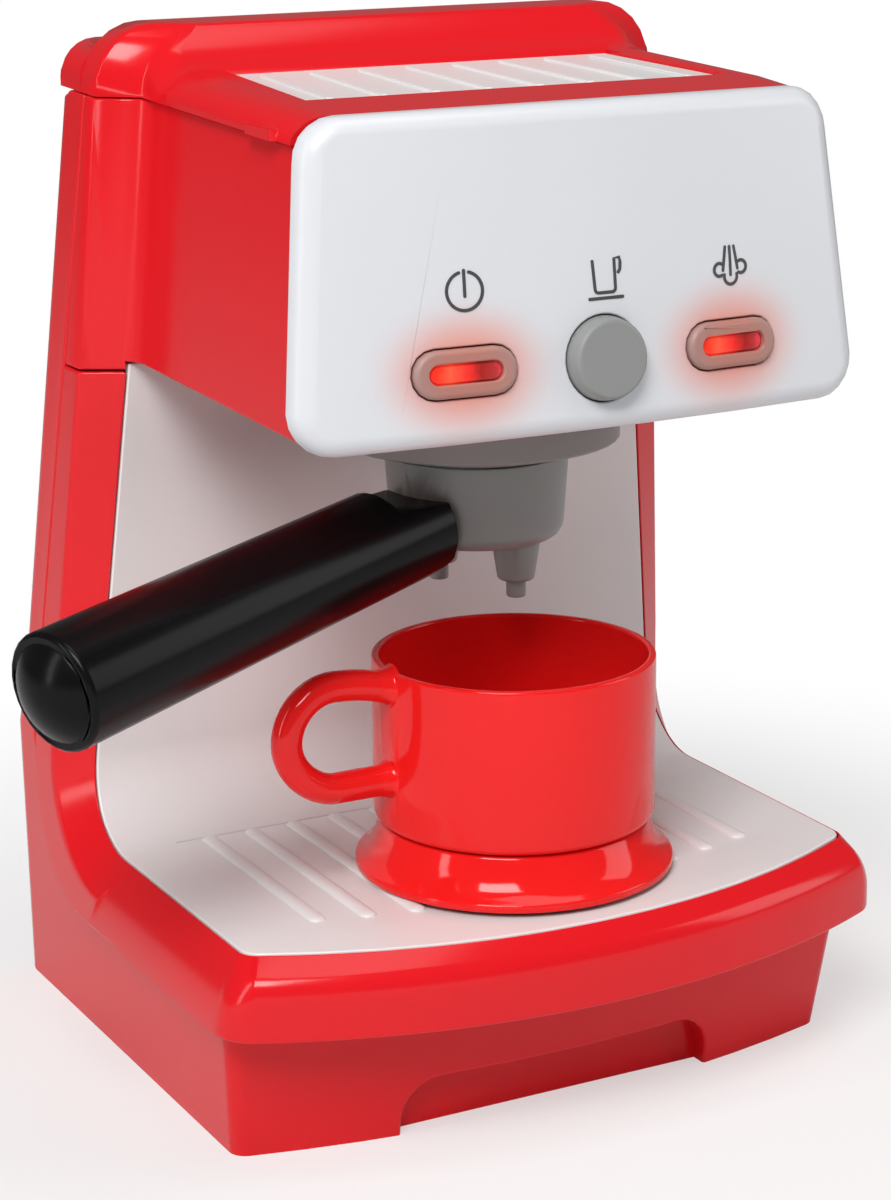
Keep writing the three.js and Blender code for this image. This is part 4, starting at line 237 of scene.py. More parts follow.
def soften(piece, width, above=-1):
    """Rounds a moulding's outer edges where there is room, and only above a height."""
    least_bend = radians(30)
    take_up(piece)
    form = bmesh.new()
    form.from_mesh(piece.data)
    form.edges.ensure_lookup_table()
    chosen = [
        edge.index for edge in form.edges
        if len(edge.link_faces) == 2 and edge.calc_face_angle(0) > least_bend
        and edge.is_convex and all(has_room(loop, width) for loop in edge.link_loops)
        and max(corner.co.z for corner in edge.verts) > above
    ]
    form.free()
    for part in (piece.data.vertices, piece.data.edges, piece.data.polygons):
        part.foreach_set("select", [False] * len(part))
    for index in chosen:
        piece.data.edges[index].select = True
    bpy.context.tool_settings.mesh_select_mode = (False, True, False)
    bpy.ops.object.mode_set(mode="EDIT")
    bpy.ops.mesh.bevel(
        offset=width, segments=3, affect="EDGES", clamp_overlap=False, loop_slide=False,
    )
    bpy.context.tool_settings.mesh_select_mode = (True, False, False)
    bpy.ops.object.mode_set(mode="OBJECT")


def smooth(piece, angle=32, weighted=True):
    """Smooth shading that keeps the flats flat."""
    take_up(piece)
    bpy.ops.object.shade_smooth_by_angle(angle=radians(angle))
    if weighted:
        flats = piece.modifiers.new("flats", "WEIGHTED_NORMAL")
        flats.keep_sharp = True
        bpy.ops.object.modifier_apply(modifier=flats.name)


def moulding(node):
    """A welded copy of a solid of the frame, without the seams between its flat triangles."""
    take_up(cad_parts[node])
    bpy.ops.object.duplicate()
    piece = bpy.context.object
    piece.parent = None
    for key in list(piece.keys()):
        del piece[key]
    bpy.ops.object.mode_set(mode="EDIT")
    bpy.ops.mesh.select_all(action="SELECT")
    bpy.ops.mesh.remove_doubles(threshold=0.00002)
    bpy.ops.mesh.dissolve_limited(angle_limit=radians(0.5))
    bpy.ops.object.mode_set(mode="OBJECT")
    return piece


def moulded_piece(node, name, body, material, rounding, above=-1):
    """A moulding with its edges rounded, finished in place of its solid."""
    piece = moulding(node)
    soften(piece, rounding, above)
    smooth(piece)
    finish_piece(piece, name, body, material, [node])


body_red = moulded_plastic("glossy_red_abs", (0.70, 0.0085, 0.014), 0.16, shine=0.3)
table_edge = 0.0002
moulded_piece(
    "rear_housing", "rear_shell", "housing", body_red, rounding=0.0007,
    above=table_edge,
)

# Surround of the tray and column
# One red moulding that runs down both sides of the column and round the front of the tray. Its
# faces meet in a crease that is crisp on the column and rolls softly round the base.
head_seam = 0.155
seam_gap = 0.0003
surround_top = head_seam - seam_gap
tray_drop = 0.0028
frame_wall = 0.0025
frame_flange = 0.008
frame_ledge = 0.003
base_half = 0.08
body_taper = 0.01135
taper_low = 0.0684
taper_high = 0.213
edge_low_half = 0.0736
edge_high_half = 0.0639
edge_low = 0.0542
seam_height = 0.0316
side_crease = 0.0395
front_crease = 0.0438
tray_floor = 0.0486
corner_steps = 10


def body_half(height):
    """Half the width of the body at a height."""
    return base_half - body_taper * max(0, (height - taper_low) / (taper_high - taper_low))


def edge_half(height):
    """Half the width of the white edge at a height."""
    share = max(0, (height - edge_low) / (head_seam - edge_low))
    return edge_low_half - (edge_low_half - edge_high_half) * share


def bent_line(top_y, foot_y, level, bend, straight=9, steps=26):
    """A side-view line that comes down the column and bends forward, as places and outward ways."""
    foot = Vector((foot_y, level))
    rise = Vector((top_y - foot_y, head_seam - level)).normalized()
    normal = Vector((-rise.y, rise.x))
    start = foot + rise * bend / tan(acos(-rise.x) / 2)
    centre = start + normal * bend
    top = foot + rise * (surround_top - level) / rise.y
    line = [(top.lerp(start, i / straight), normal) for i in range(straight)]
    lean = pi + atan2(-normal.y, -normal.x)
    for i in range(steps + 1):
        angle = lean + (pi / 2 - lean) * i / steps
        outward = Vector((cos(angle), sin(angle)))
        line.append((centre - outward * bend, outward))
    return line


def bowed_front(half, corner_y, bow, radius, bow_steps=36):
    """The front of the base from above: left corner, bow and right corner."""
    bow_radius = (half * half + bow * bow) / (2 * bow)
    bow_centre = corner_y - bow + bow_radius
    inner = half - radius
    turn = asin(inner / (bow_radius - radius))
    corner_centre = bow_centre - (bow_radius - radius) * cos(turn)
    down = 3 * pi / 2

    def arc(x, y, size, start, end, steps):
        angles = [start + (end - start) * i / steps for i in range(steps + 1)]
        return [(x + size * cos(a), y + size * sin(a)) for a in angles]

    return [
        *arc(-inner, corner_centre, radius, pi, down - turn, corner_steps),
        *arc(0, bow_centre, bow_radius, down - turn, down + turn, bow_steps)[1:-1],
        *arc(inner, corner_centre, radius, down + turn, 2 * pi, corner_steps),
    ]


def surround_ring(seam, crease, edge, inward, roll, steps=8):
    """One section of the surround, from its seam over the crease to the tray and back inside."""
    def beside(station, across, out):
        place, way = station
        return place + inward * across + way * out

    start = crease[0].lerp(seam[0], roll)
    end = crease[0].lerp(edge[0], roll)
    rolled = []
    for i in range(steps + 1):
        share = i / steps
        rolled.append(start.lerp(crease[0], share).lerp(crease[0].lerp(end, share), share))
    return [
        beside(seam, 0, 0), *rolled, beside(edge, 0, 0), beside(edge, 0, -tray_drop),
        beside(edge, frame_ledge, -tray_drop), beside(edge, frame_ledge, -tray_drop - frame_wall),
        beside(crease, frame_wall * (1 + roll), -frame_wall * roll),
        beside(seam, frame_wall, frame_wall), beside(seam, frame_flange, frame_wall),
        beside(seam, frame_flange, 0),
    ]


# The seam, the crease and the white edge: place at the head, place at the foot, level and bend.
surround_curves = [
    (0.0348, 0.0505, seam_height, 0.027),
    (0.0263, 0.0374, side_crease, 0.024),
    (0.0210, 0.0283, tray_floor, 0.018),
]
surround_outer = bowed_front(base_half, -0.059, 0.0196, 0.01)
surround_inner = bowed_front(edge_low_half, -0.0548, 0.0189, 0.005)
column_roll = 0.12
side_roll = 0.9
front_roll = 0.35
level_shares = [0.012, 0.024, 0.036, 0.05, 0.07, 0.1, 0.16, 0.26, 0.4, 0.6, 0.8]
crease_end_share = 0.05


def surround_side(side):
    """Sections down one side of the column and forward along the base to its front corner."""
    lines = [bent_line(*curve) for curve in surround_curves]
    fronts = (surround_outer[0][1], surround_outer[0][1], surround_inner[0][1])
    foot = len(lines[0]) - 1
    for line, front in zip(lines, fronts):
        last, way = line[foot]
        line.extend((Vector((last.x + (front - last.x) * s, last.y)), way) for s in level_shares)
    sections = []
    for i in range(len(lines[0])):
        past = min(1, level_shares[i - foot - 1] / crease_end_share) if i > foot else 0
        roll = column_roll + (side_roll - column_roll) * past * past * (3 - 2 * past)
        stations = []
        for half, line in zip((body_half, body_half, edge_half), lines):
            (y, z), (way_y, way_z) = line[i]
            way = Vector((0, way_y, way_z)) if i else Vector((0, -1, 0))
            stations.append((Vector((side * half(z), y, z)), way))
        sections.append(surround_ring(*stations, Vector((-side, 0, 0)), roll))
    return sections


def surround_front():
    """Sections round the front, whose crease climbs and tightens round each corner."""
    sections = []
    up = Vector((0, 0, 1))
    for i, ((x, y), (inner_x, inner_y)) in enumerate(zip(surround_outer, surround_inner)):
        turned = min(1, i / corner_steps, (len(surround_outer) - 1 - i) / corner_steps)
        crease_height = side_crease + (front_crease - side_crease) * turned
        inward = Vector((inner_x - x, inner_y - y, 0)).normalized()
        sections.append(surround_ring(
            (Vector((x, y, seam_height)), up), (Vector((x, y, crease_height)), up),
            (Vector((inner_x, inner_y, tray_floor)), up),
            inward, side_roll + (front_roll - side_roll) * turned,
        ))
    return sections


def lofted(rings):
    """A closed skin over rings of equal length."""
    form = bmesh.new()
    rows = [[form.verts.new(corner) for corner in ring] for ring in rings]
    for row, following in zip(rows, rows[1:]):
        for i in range(len(row)):
            k = (i + 1) % len(row)
            form.faces.new((row[i], row[k], following[k], following[i]))
    form.faces.new(rows[0])
    form.faces.new(rows[-1])
    bmesh.ops.recalc_face_normals(form, faces=form.faces)
    mesh = bpy.data.meshes.new("skin")
    form.to_mesh(mesh)
    form.free()
    piece = bpy.data.objects.new("skin", mesh)
    bpy.context.collection.objects.link(piece)
    return piece


surround = lofted([*surround_side(-1), *surround_front(), *reversed(surround_side(1))])
soften(surround, 0.0006)
smooth(surround)
finish_piece(surround, "red_surround", "housing", body_red, ["front_frame"])

# White tray
# The tray and the back wall are one moulding in satin white ABS, let into the surround. Eleven
# soft bars rise from it under the cup, to keep the saucer off the wet. They take the place of the
# solid's square ribs, which are levelled first.
tray_white = moulded_plastic("satin_white_abs", (0.76, 0.74, 0.735), 0.33)


def fuse(piece, other, operation="UNION"):
    """Joins another closed piece into this one, or cuts it away."""
    take_up(piece)
    meeting = piece.modifiers.new("fuse", "BOOLEAN")
    meeting.operation = operation
    meeting.solver = "EXACT"
    meeting.object = other
    bpy.ops.object.modifier_apply(modifier=meeting.name)
    bpy.data.objects.remove(other)


def picked(piece, test):
    """Selects the corners of a piece that pass a test of their place."""
    form = bmesh.from_edit_mesh(piece.data)
    for corner in form.verts:
        corner.select = test(corner.co)
    form.select_flush(True)
    bmesh.update_edit_mesh(piece.data)


rib_room = (0.12, 0.0896, 0.002)
rib_room_y = -0.0322
side_bars = 5
bar_half = 0.0019
bar_rise = 0.0008
bar_pitch = 0.01045
bar_back = 0.0125
bar_sweep = 0.008
bar_front = -0.0542
tray = moulding("tray_liner")
clear_selection()
bpy.ops.mesh.primitive_cube_add(size=1)
ribs = bpy.context.object
bpy.ops.transform.resize(value=rib_room)
bpy.ops.transform.translate(value=(0, rib_room_y, tray_floor + rib_room[2] / 2))
bpy.ops.object.transform_apply(location=True, rotation=True, scale=True)
fuse(tray, ribs, "DIFFERENCE")
soften(tray, 0.00045)
bars = []
for i in range(-side_bars, side_bars + 1):
    x = i * bar_pitch
    front = bar_front + bar_sweep * (i / side_bars) ** 2
    clear_selection()
    bpy.ops.mesh.primitive_uv_sphere_add(segments=24, ring_count=16, radius=bar_half)
    bar = bpy.context.object
    bpy.context.tool_settings.mesh_select_mode = (True, False, False)
    bpy.ops.object.mode_set(mode="EDIT")
    bpy.ops.mesh.select_all(action="SELECT")
    bpy.ops.transform.resize(value=(1, 1, bar_rise / bar_half))
    bpy.ops.mesh.bisect(plane_co=(0, 0, 0), plane_no=(0, 1, 0), use_fill=False)
    picked(bar, lambda place: place.y > 0.00001)
    bpy.ops.transform.translate(value=(0, bar_back - bar_half - (front + bar_half), 0))
    bpy.ops.object.mode_set(mode="OBJECT")
    bpy.ops.transform.translate(value=(x, front + bar_half, tray_floor))
    bpy.ops.object.transform_apply(location=True, rotation=True, scale=True)
    bars.append(bar)
clear_selection()
for bar in bars:
    bar.select_set(True)
bpy.context.view_layer.objects.active = bars[0]
bpy.ops.object.join()
fuse(tray, bpy.context.object)
smooth(tray)
finish_piece(tray, "white_tray", "housing", tray_white, ["tray_liner"])

# Head shell
# The red box over the cup, moulded in the shell's ABS with a soft fillet where it leaves the
# column. Two lugs inside take the screws from the back.
moulded_piece("head_housing", "head_shell", "housing", body_red, rounding=0.0006)

# Lid
# A thin red moulding over the tank, with a raised arch across its back that hides the hinge and
# a small lip at the left to lift it by. Its rim stays square, where it turns close to the shell.
lid_rim = 0.2205
moulded_piece("top_lid", "lid", "lid", body_red, rounding=0.0008, above=lid_rim)

# Cup plate
# A white plate in the lid where cups are warmed, moulded in the tray's ABS with eight low ribs.
# It is pressed into a pocket of the lid.
moulded_piece("cup_warmer_plate", "cup_plate", "lid", tray_white, rounding=0.0003)

# Hinge pins, screws and contacts
# Plain steel parts: the two pins of the lid, the screws of the housing, the board and the handle,
# and the springy plates at the ends of the cells. They are drawn or stamped, and left bright.


def bare_steel(name, colour, roughness, streak):
    """Bright metal with fine drawing marks."""
    material = bpy.data.materials.new(name)
    material.use_nodes = True
    nodes = material.node_tree.nodes
    links = material.node_tree.links
    shader = nodes["Principled BSDF"]
    shader.inputs["Metallic"].default_value = 1
    place = nodes.new("ShaderNodeTexCoord")
    drawn = nodes.new("ShaderNodeMapping")
    drawn.inputs["Scale"].default_value = (streak, streak, 1)
    marks = nodes.new("ShaderNodeTexNoise")
    marks.inputs["Scale"].default_value = 400
    tone = nodes.new("ShaderNodeMix")
    tone.data_type = "RGBA"
    tone.inputs[6].default_value = (*[c * 0.85 for c in colour], 1)
    tone.inputs[7].default_value = (*colour, 1)
    gloss = nodes.new("ShaderNodeMapRange")
    gloss.inputs["To Min"].default_value = roughness * 0.8
    gloss.inputs["To Max"].default_value = roughness * 1.3
    links.new(place.outputs["Object"], drawn.inputs["Vector"])
    links.new(drawn.outputs["Vector"], marks.inputs["Vector"])
    links.new(marks.outputs["Fac"], tone.inputs[0])
    links.new(tone.outputs[2], shader.inputs["Base Color"])
    links.new(marks.outputs["Fac"], gloss.inputs["Value"])
    links.new(gloss.outputs["Result"], shader.inputs["Roughness"])
    return material


def dress(names, material):
    """Gives nodes of the frame that stay as they are their material."""
    for name in names:
        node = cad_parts[name]
        if not node.material_slots:
            node.data.materials.append(material)
        for slot in node.material_slots:
            slot.material = material


screw_steel = bare_steel("zinc_plated_steel", (0.62, 0.62, 0.64), 0.32, 4)
dress(["lid_hinge_pin_left", "lid_hinge_pin_right"], screw_steel)
dress(["battery_door_screw", "handle_screw"], screw_steel)
dress([f"housing_screw_{i}" for i in range(1, 7)], screw_steel)
dress([f"board_screw_{i}" for i in range(1, 5)], screw_steel)
dress(["battery_contact_1", "battery_contact_2"], screw_steel)

# Water tank
# A clear box under the lid, moulded in thin polystyrene. It drops into the head from above, and
# the lid closes over it.
tank_clear = moulded_plastic("clear_polystyrene", (0.86, 0.9, 0.92), 0.08)
tank_shader = tank_clear.node_tree.nodes["Principled BSDF"]
tank_shader.inputs["Transmission Weight"].default_value = 0.85
tank_shader.inputs["IOR"].default_value = 1.5
dress(["water_tank"], tank_clear)

# Batteries, their door and the speaker
# Two cells in printed sleeves, the red door that closes them in, and the small black speaker
# behind the slots of the floor.
cell_jacket = moulded_plastic("cell_sleeve", (0.03, 0.03, 0.035), 0.35, clouding=0.2)
speaker_black = moulded_plastic("speaker_paper", (0.02, 0.02, 0.022), 0.7, 0.00006, 500)
dress(["battery_cell_1", "battery_cell_2"], cell_jacket)
dress(["speaker"], speaker_black)
dress(["battery_door"], body_red)

# Front panel
# The pale panel that bulges forward, moulded in satin ABS and pressed on to the head. The light of
# the two lit keys is painted into its colour, as a painted red glow round them.


def painted_lamp_glow(material, lamps, reach, tint, strength):
    """Paints a glow of lamp light into a material's colour, round the places where the lamps stand.
    """
    spread = (0.66, 0.3, 0.9)
    full_within = 0.002
    nodes = material.node_tree.nodes
    links = material.node_tree.links
    tone = nodes["tone"]
    shader = nodes["Principled BSDF"]
    place = nodes.new("ShaderNodeTexCoord")
    total = None
    for centre in lamps:
        shifted = nodes.new("ShaderNodeVectorMath")
        shifted.operation = "SUBTRACT"
        shifted.inputs[1].default_value = centre
        shaped = nodes.new("ShaderNodeVectorMath")
        shaped.operation = "MULTIPLY"
        shaped.inputs[1].default_value = spread
        length = nodes.new("ShaderNodeVectorMath")
        length.operation = "LENGTH"
        fade = nodes.new("ShaderNodeMapRange")
        fade.interpolation_type = "SMOOTHERSTEP"
        fade.inputs["From Min"].default_value = reach
        fade.inputs["From Max"].default_value = full_within
        fade.inputs["To Min"].default_value = 0
        fade.inputs["To Max"].default_value = strength
        links.new(place.outputs["Object"], shifted.inputs[0])
        links.new(shifted.outputs["Vector"], shaped.inputs[0])
        links.new(shaped.outputs["Vector"], length.inputs[0])
        links.new(length.outputs["Value"], fade.inputs["Value"])
        if total is None:
            total = fade.outputs["Result"]
        else:
            both = nodes.new("ShaderNodeMath")
            both.operation = "MAXIMUM"
            links.new(total, both.inputs[0])
            links.new(fade.outputs["Result"], both.inputs[1])
            total = both.outputs["Value"]
    # The painted glow is mixed into the base colour as a tint.
    lit = nodes.new("ShaderNodeMix")
    lit.data_type = "RGBA"
    lit.inputs[7].default_value = (*tint, 1)
    links.new(total, lit.inputs[0])
    links.new(tone.outputs[2], lit.inputs[6])
    links.new(lit.outputs[2], shader.inputs["Base Color"])


lit_keys = ("power", "steam")
lamp_places = []
for side in lit_keys:
    low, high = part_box(f"{side}_lens")
    lamp_places.append(tuple((a + b) / 2 for a, b in zip(low, high)))
panel_white = moulded_plastic("satin_pale_abs", (0.66, 0.67, 0.70), 0.32, clouding=0.01)
# A painted red glow round the two lenses, mixed into the panel's own colour.
painted_lamp_glow(panel_white, lamp_places, 0.0155, (0.74, 0.22, 0.15), 0.8)
moulded_piece(
    "front_panel", "control_panel", "housing", panel_white, rounding=0.0004,
)

# Printed marks
# Three dark grey signs over the keys, for power, a cup and steam, pad printed on the panel in one
# pass of ink.
panel_base_y = -0.06332
panel_base_height = 0.15157
panel_lean = radians(5.64)
panel_height = 0.0651
panel_half = 0.066
panel_taper = 0.0063
panel_edge = 0.0044
panel_bulge = 0.0065
ink_half = 0.00033
ink_depth = 0.00008
cap_points = 5


def on_panel(x, height, proud):
    """The place on the panel's bulging face at a distance across and up, a little proud of it."""
    half = panel_half - panel_taper * height / panel_height
    depth = panel_edge + panel_bulge * (1 - (x / half) ** 2) + proud
    return Vector((
        x, panel_base_y - depth * cos(panel_lean) + height * sin(panel_lean),
        panel_base_height + depth * sin(panel_lean) + height * cos(panel_lean),
    ))


def bow(x, height, radius, start, end, steps=20):
    """Points along an arc, its ends given in degrees."""
    angles = [radians(start + (end - start) * i / steps) for i in range(steps + 1)]
    return [(x + radius * cos(a), height + radius * sin(a)) for a in angles]


def inked(form, line):
    """One stroke of ink with round ends, as a thin pad that follows the panel."""
    points = [Vector(point) for point in line]
    count = len(points)
    far = 2 * count + cap_points - 1
    ways = []
    for i in range(count):
        before = points[max(i - 1, 0)]
        after = points[min(i + 1, count - 1)]
        ways.append((after - before).normalized())
    left = [p + Vector((-w.y, w.x)) * ink_half for p, w in zip(points, ways)]
    right = [p - Vector((-w.y, w.x)) * ink_half for p, w in zip(points, ways)]

    def cap(point, way, sign):
        across = Vector((-way.y, way.x))
        turns = [pi * k / (cap_points + 1) for k in range(1, cap_points + 1)]
        return [point + sign * (across * cos(t) + way * sin(t)) * ink_half for t in turns]

    last_cap = reversed(cap(points[-1], ways[-1], 1))
    first_cap = reversed(cap(points[0], ways[0], -1))
    outline = [*right, *last_cap, *reversed(left), *first_cap]
    top = [form.verts.new(on_panel(p.x, p.y, ink_depth)) for p in outline]
    back = [form.verts.new(on_panel(p.x, p.y, -ink_depth)) for p in outline]
    for row in (top, back):
        for i in range(count - 1):
            form.faces.new((row[i], row[i + 1], row[far - i - 1], row[far - i]))
        form.faces.new(row[count - 1:count + cap_points + 1])
        form.faces.new([*row[far:], row[0]])
    for i in range(len(outline)):
        k = (i + 1) % len(outline)
        form.faces.new((top[i], top[k], back[k], back[i]))


mark_ink = moulded_plastic("dark_grey_ink", (0.055, 0.053, 0.055), 0.5, 0.00001)


def printed_mark(name, x, height, strokes):
    """A sign made of strokes, each a list of points from the sign's middle."""
    form = bmesh.new()
    for stroke in strokes:
        inked(form, [(x + across, height + up) for across, up in stroke])
    bmesh.ops.recalc_face_normals(form, faces=form.faces)
    mesh = bpy.data.meshes.new(name)
    form.to_mesh(mesh)
    form.free()
    mark = bpy.data.objects.new(name, mesh)
    bpy.context.collection.objects.link(mark)
    finish_piece(mark, name, "housing", mark_ink)


mm = 0.001
mark_height = 0.0302
printed_mark("power_mark", -0.0299, mark_height, [
    bow(0, 0, 3.75 * mm, 106, 434, 44),
    [(0, 4.0 * mm), (0, 2.5 * mm), (0, -1.0 * mm)],
])
printed_mark("cup_mark", 0.0010, mark_height, [
    [(-3.0 * mm, 3.5 * mm), (-2.6 * mm, -1.9 * mm),
     *bow(-1.8 * mm, -2.0 * mm, 0.8 * mm, 180, 270, 5),
     *bow(1.3 * mm, -2.0 * mm, 0.8 * mm, 270, 360, 5), (2.0 * mm, 3.8 * mm), (3.2 * mm, 3.9 * mm),
     (3.4 * mm, 3.0 * mm), (3.3 * mm, 1.6 * mm), (2.9 * mm, 1.0 * mm)],
    [(-3.9 * mm, -3.9 * mm), (3.7 * mm, -3.9 * mm)],
])
printed_mark("steam_mark", 0.0311, mark_height, [
    [(-1.1 * mm, 3.8 * mm), (-1.4 * mm, 1.7 * mm), (-1.8 * mm, -0.9 * mm)],
    [(0, 3.8 * mm), (0.1 * mm, 0.9 * mm), (0.1 * mm, -1.9 * mm)],
    [(1.1 * mm, 3.8 * mm), (1.5 * mm, 1.7 * mm), (1.9 * mm, -0.7 * mm)],
    bow(-2.7 * mm, -0.7 * mm, 1.3 * mm, 50, 300, 16),
    bow(2.8 * mm, -0.4 * mm, 1.3 * mm, -120, 130, 16),
    bow(0.1 * mm, -2.2 * mm, 1.6 * mm, 165, 375, 18),
])

# Keys
# Two oblong keys with a red window each, and a round one between them, all in grey ABS with an
# eroded finish. The light of the diodes behind the windows is painted into their colour, brightest
# over the diode, and the grey round the lit windows is painted lighter, warmer and red with glow.
key_grey = moulded_plastic("matt_grey_abs", (0.245, 0.25, 0.245), 0.45)
# The bezels of the lit keys take a copy of the grey painted lighter and warmer, with a painted red
# glow round each window.
painted_glow_grey = moulded_plastic("matt_grey_abs_painted_glow", (0.27, 0.255, 0.25), 0.45)
painted_lamp_glow(painted_glow_grey, lamp_places, 0.0125, (0.5, 0.14, 0.09), 0.7)


def painted_lit_window(name, centre):
    """Clear red plastic over a diode, its light and shade painted in: bright on one side, dark on
    the other, with a painted lit end.
    """
    left_end = -0.0078
    right_end = 0.0098
    waver = 0.002
    material = bpy.data.materials.new(name)
    material.use_nodes = True
    nodes = material.node_tree.nodes
    links = material.node_tree.links
    shader = nodes["Principled BSDF"]
    shader.inputs["Roughness"].default_value = 0.12
    # The painted colour also glows a little, as painted light from the diode.
    shader.inputs["Emission Strength"].default_value = 0.35
    place = nodes.new("ShaderNodeTexCoord")
    middle = nodes.new("ShaderNodeMapping")
    middle.inputs["Location"].default_value = [-c for c in centre]
    split = nodes.new("ShaderNodeSeparateXYZ")
    grain = nodes.new("ShaderNodeTexNoise")
    grain.inputs["Scale"].default_value = 500
    wander = nodes.new("ShaderNodeMath")
    wander.operation = "MULTIPLY_ADD"
    wander.inputs[1].default_value = waver
    along = nodes.new("ShaderNodeMapRange")
    along.inputs["From Min"].default_value = left_end
    along.inputs["From Max"].default_value = right_end
    ramp = nodes.new("ShaderNodeValToRGB")
    # Painted light and shade along the window, from its left end to its right: painted glow,
    # painted shade and a painted lit end.
    painted_light_bands = [
        (0, (0.55, 0.012, 0.008)), (0.16, (0.95, 0.035, 0.016)), (0.3, (1, 0.09, 0.045)),
        (0.5, (0.8, 0.028, 0.022)), (0.68, (0.3, 0.014, 0.012)), (0.84, (0.36, 0.03, 0.028)),
        (0.93, (0.75, 0.05, 0.07)), (1, (0.35, 0.014, 0.02)),
    ]
    stops = ramp.color_ramp.elements
    while len(stops) < len(painted_light_bands):
        stops.new(0.5)
    for stop, (at, colour) in zip(stops, painted_light_bands):
        stop.position = at
        stop.color = (*colour, 1)
    links.new(place.outputs["Object"], middle.inputs["Vector"])
    links.new(place.outputs["Object"], grain.inputs["Vector"])
    links.new(middle.outputs["Vector"], split.inputs["Vector"])
    links.new(grain.outputs["Fac"], wander.inputs[0])
    links.new(split.outputs["X"], wander.inputs[2])
    links.new(wander.outputs["Value"], along.inputs["Value"])
    links.new(along.outputs["Result"], ramp.inputs["Fac"])
    links.new(ramp.outputs["Color"], shader.inputs["Base Color"])
    links.new(ramp.outputs["Color"], shader.inputs["Emission Color"])
    return material


key_rounding = 0.0004
for side, centre in zip(lit_keys, lamp_places):
    body = f"{side}_key"
    moulded_piece(f"{side}_button", f"{side}_bezel", body, painted_glow_grey, key_rounding)
    window_red = painted_lit_window(f"painted_lit_red_{side}_window", centre)
    moulded_piece(f"{side}_lens", f"{side}_window", body, window_red, key_rounding)
moulded_piece("brew_button", "round_key", "brew_key", key_grey, key_rounding)

# Board behind the keys
# A green laminate held by four screws, with two red diodes and three switches. A plunger of dark
# plastic carries each key's push to its switch.
board_green = moulded_plastic("green_laminate", (0.02, 0.13, 0.045), 0.4, 0.00005, 700, 0.15)
inner_dark = moulded_plastic("dark_switch_plastic", (0.03, 0.03, 0.032), 0.5)
diode_red = moulded_plastic("red_diode", (0.7, 0.03, 0.02), 0.1)
dress(["control_board"], board_green)
for key in ("power", "steam", "brew"):
    dress([f"{key}_plunger", f"{key}_switch"], inner_dark)
dress(["power_led", "steam_led"], diode_red)

# Brew head
# The grey drum under the head that the filter holder hangs in. It is moulded in ABS, as smooth as
# if it were turned.
brew_grey = moulded_plastic("grey_abs", (0.215, 0.208, 0.2), 0.38)
moulded_piece("brew_head", "brew_drum", "housing", brew_grey, rounding=0.0005)

# Filter holder
# The grey basket with two tapered nozzles, moulded in one, which turns with its handle.
# Its collar and lugs lock in the drum.
moulded_piece(
    "filter_holder", "filter_basket", "portafilter", brew_grey, rounding=0.0005,
)

# Handle
# The black grip, hollow and screwed to the basket's tang from its far end, which a domed cap
# closes. Both are satin nylon.
handle_black = moulded_plastic("satin_black_nylon", (0.004, 0.004, 0.0045), 0.24, shine=0.12)
moulded_piece(
    "portafilter_handle", "handle_grip", "portafilter", handle_black,
    rounding=0.0005,
)
moulded_piece(
    "handle_end_cap", "handle_cap", "portafilter", handle_black, rounding=0.0004,
)

# Cup
# A thin cup of clear orange-red plastic with a round loop that flares into its wall. Its foot
# ring stands in the saucer's well.


def eased(corners, steps=5):
    """Points of an outline given as distance out, height and rounding, its corners rounded off."""
    line = []
    for i, (u, v, rounding) in enumerate(corners):
        here = Vector((u, v))
        if not rounding:
            line.append(here)
            continue
        before = here + (Vector(corners[i - 1][:2]) - here).normalized() * rounding
        after = here + (Vector(corners[i + 1][:2]) - here).normalized() * rounding
        for k in range(steps + 1):
            share = k / steps
            line.append(before.lerp(here, share).lerp(here.lerp(after, share), share))
    return line


def turned(profile, x, y, steps):
    """Spins a profile round an upright axis, from a vertex that is pushed along it."""
    clear_selection()
    bpy.ops.mesh.primitive_plane_add(size=0.001)
    piece = bpy.context.object
    bpy.context.tool_settings.mesh_select_mode = (True, False, False)
    bpy.ops.object.mode_set(mode="EDIT")
    bpy.ops.mesh.select_all(action="SELECT")
    bpy.ops.mesh.merge(type="CENTER")
    bpy.ops.transform.translate(value=(x + profile[0].x, y, profile[0].y))
    for here, following in zip(profile, profile[1:]):
        step = following - here
        bpy.ops.mesh.extrude_vertices_move(TRANSFORM_OT_translate={"value": (step.x, 0, step.y)})
    bpy.ops.mesh.select_all(action="SELECT")
    bpy.ops.mesh.spin(steps=steps, angle=tau, center=(x, y, 0), axis=(0, 0, 1))
    bpy.ops.mesh.select_all(action="SELECT")
    bpy.ops.mesh.remove_doubles(threshold=0.000002)
    bpy.ops.mesh.normals_make_consistent(inside=False)
    bpy.ops.object.mode_set(mode="OBJECT")
    return piece


cup_x = 0.00064
cup_y = -0.03415
cup_low = 0.0606
cup_top = 0.0967
cup_radius = 0.0307
cup_bore = 0.029
cup_floor = 0.002
foot_low = 0.0584
foot_radius = 0.0255
foot_bore = 0.0238
round_steps = 112
cup_red = moulded_plastic("glossy_orange_red", (0.82, 0.012, 0.012), 0.08, shine=0.3)
cup_shader = cup_red.node_tree.nodes["Principled BSDF"]
cup_shader.inputs["Subsurface Weight"].default_value = 0.25
cup_shader.inputs["Subsurface Radius"].default_value = (0.004, 0.0006, 0.0004)
cup = turned(eased([
    (0, cup_low + cup_floor, 0), (cup_bore, cup_low + cup_floor, 0.003),
    (cup_bore, cup_top, 0.0007), (cup_radius, cup_top, 0.0007), (cup_radius, cup_low, 0.002),
    (foot_radius, cup_low, 0.0005), (foot_radius, foot_low, 0.0004),
    (foot_bore, foot_low, 0.0004), (foot_bore, cup_low, 0.0003), (0, cup_low, 0),
]), cup_x, cup_y, round_steps)

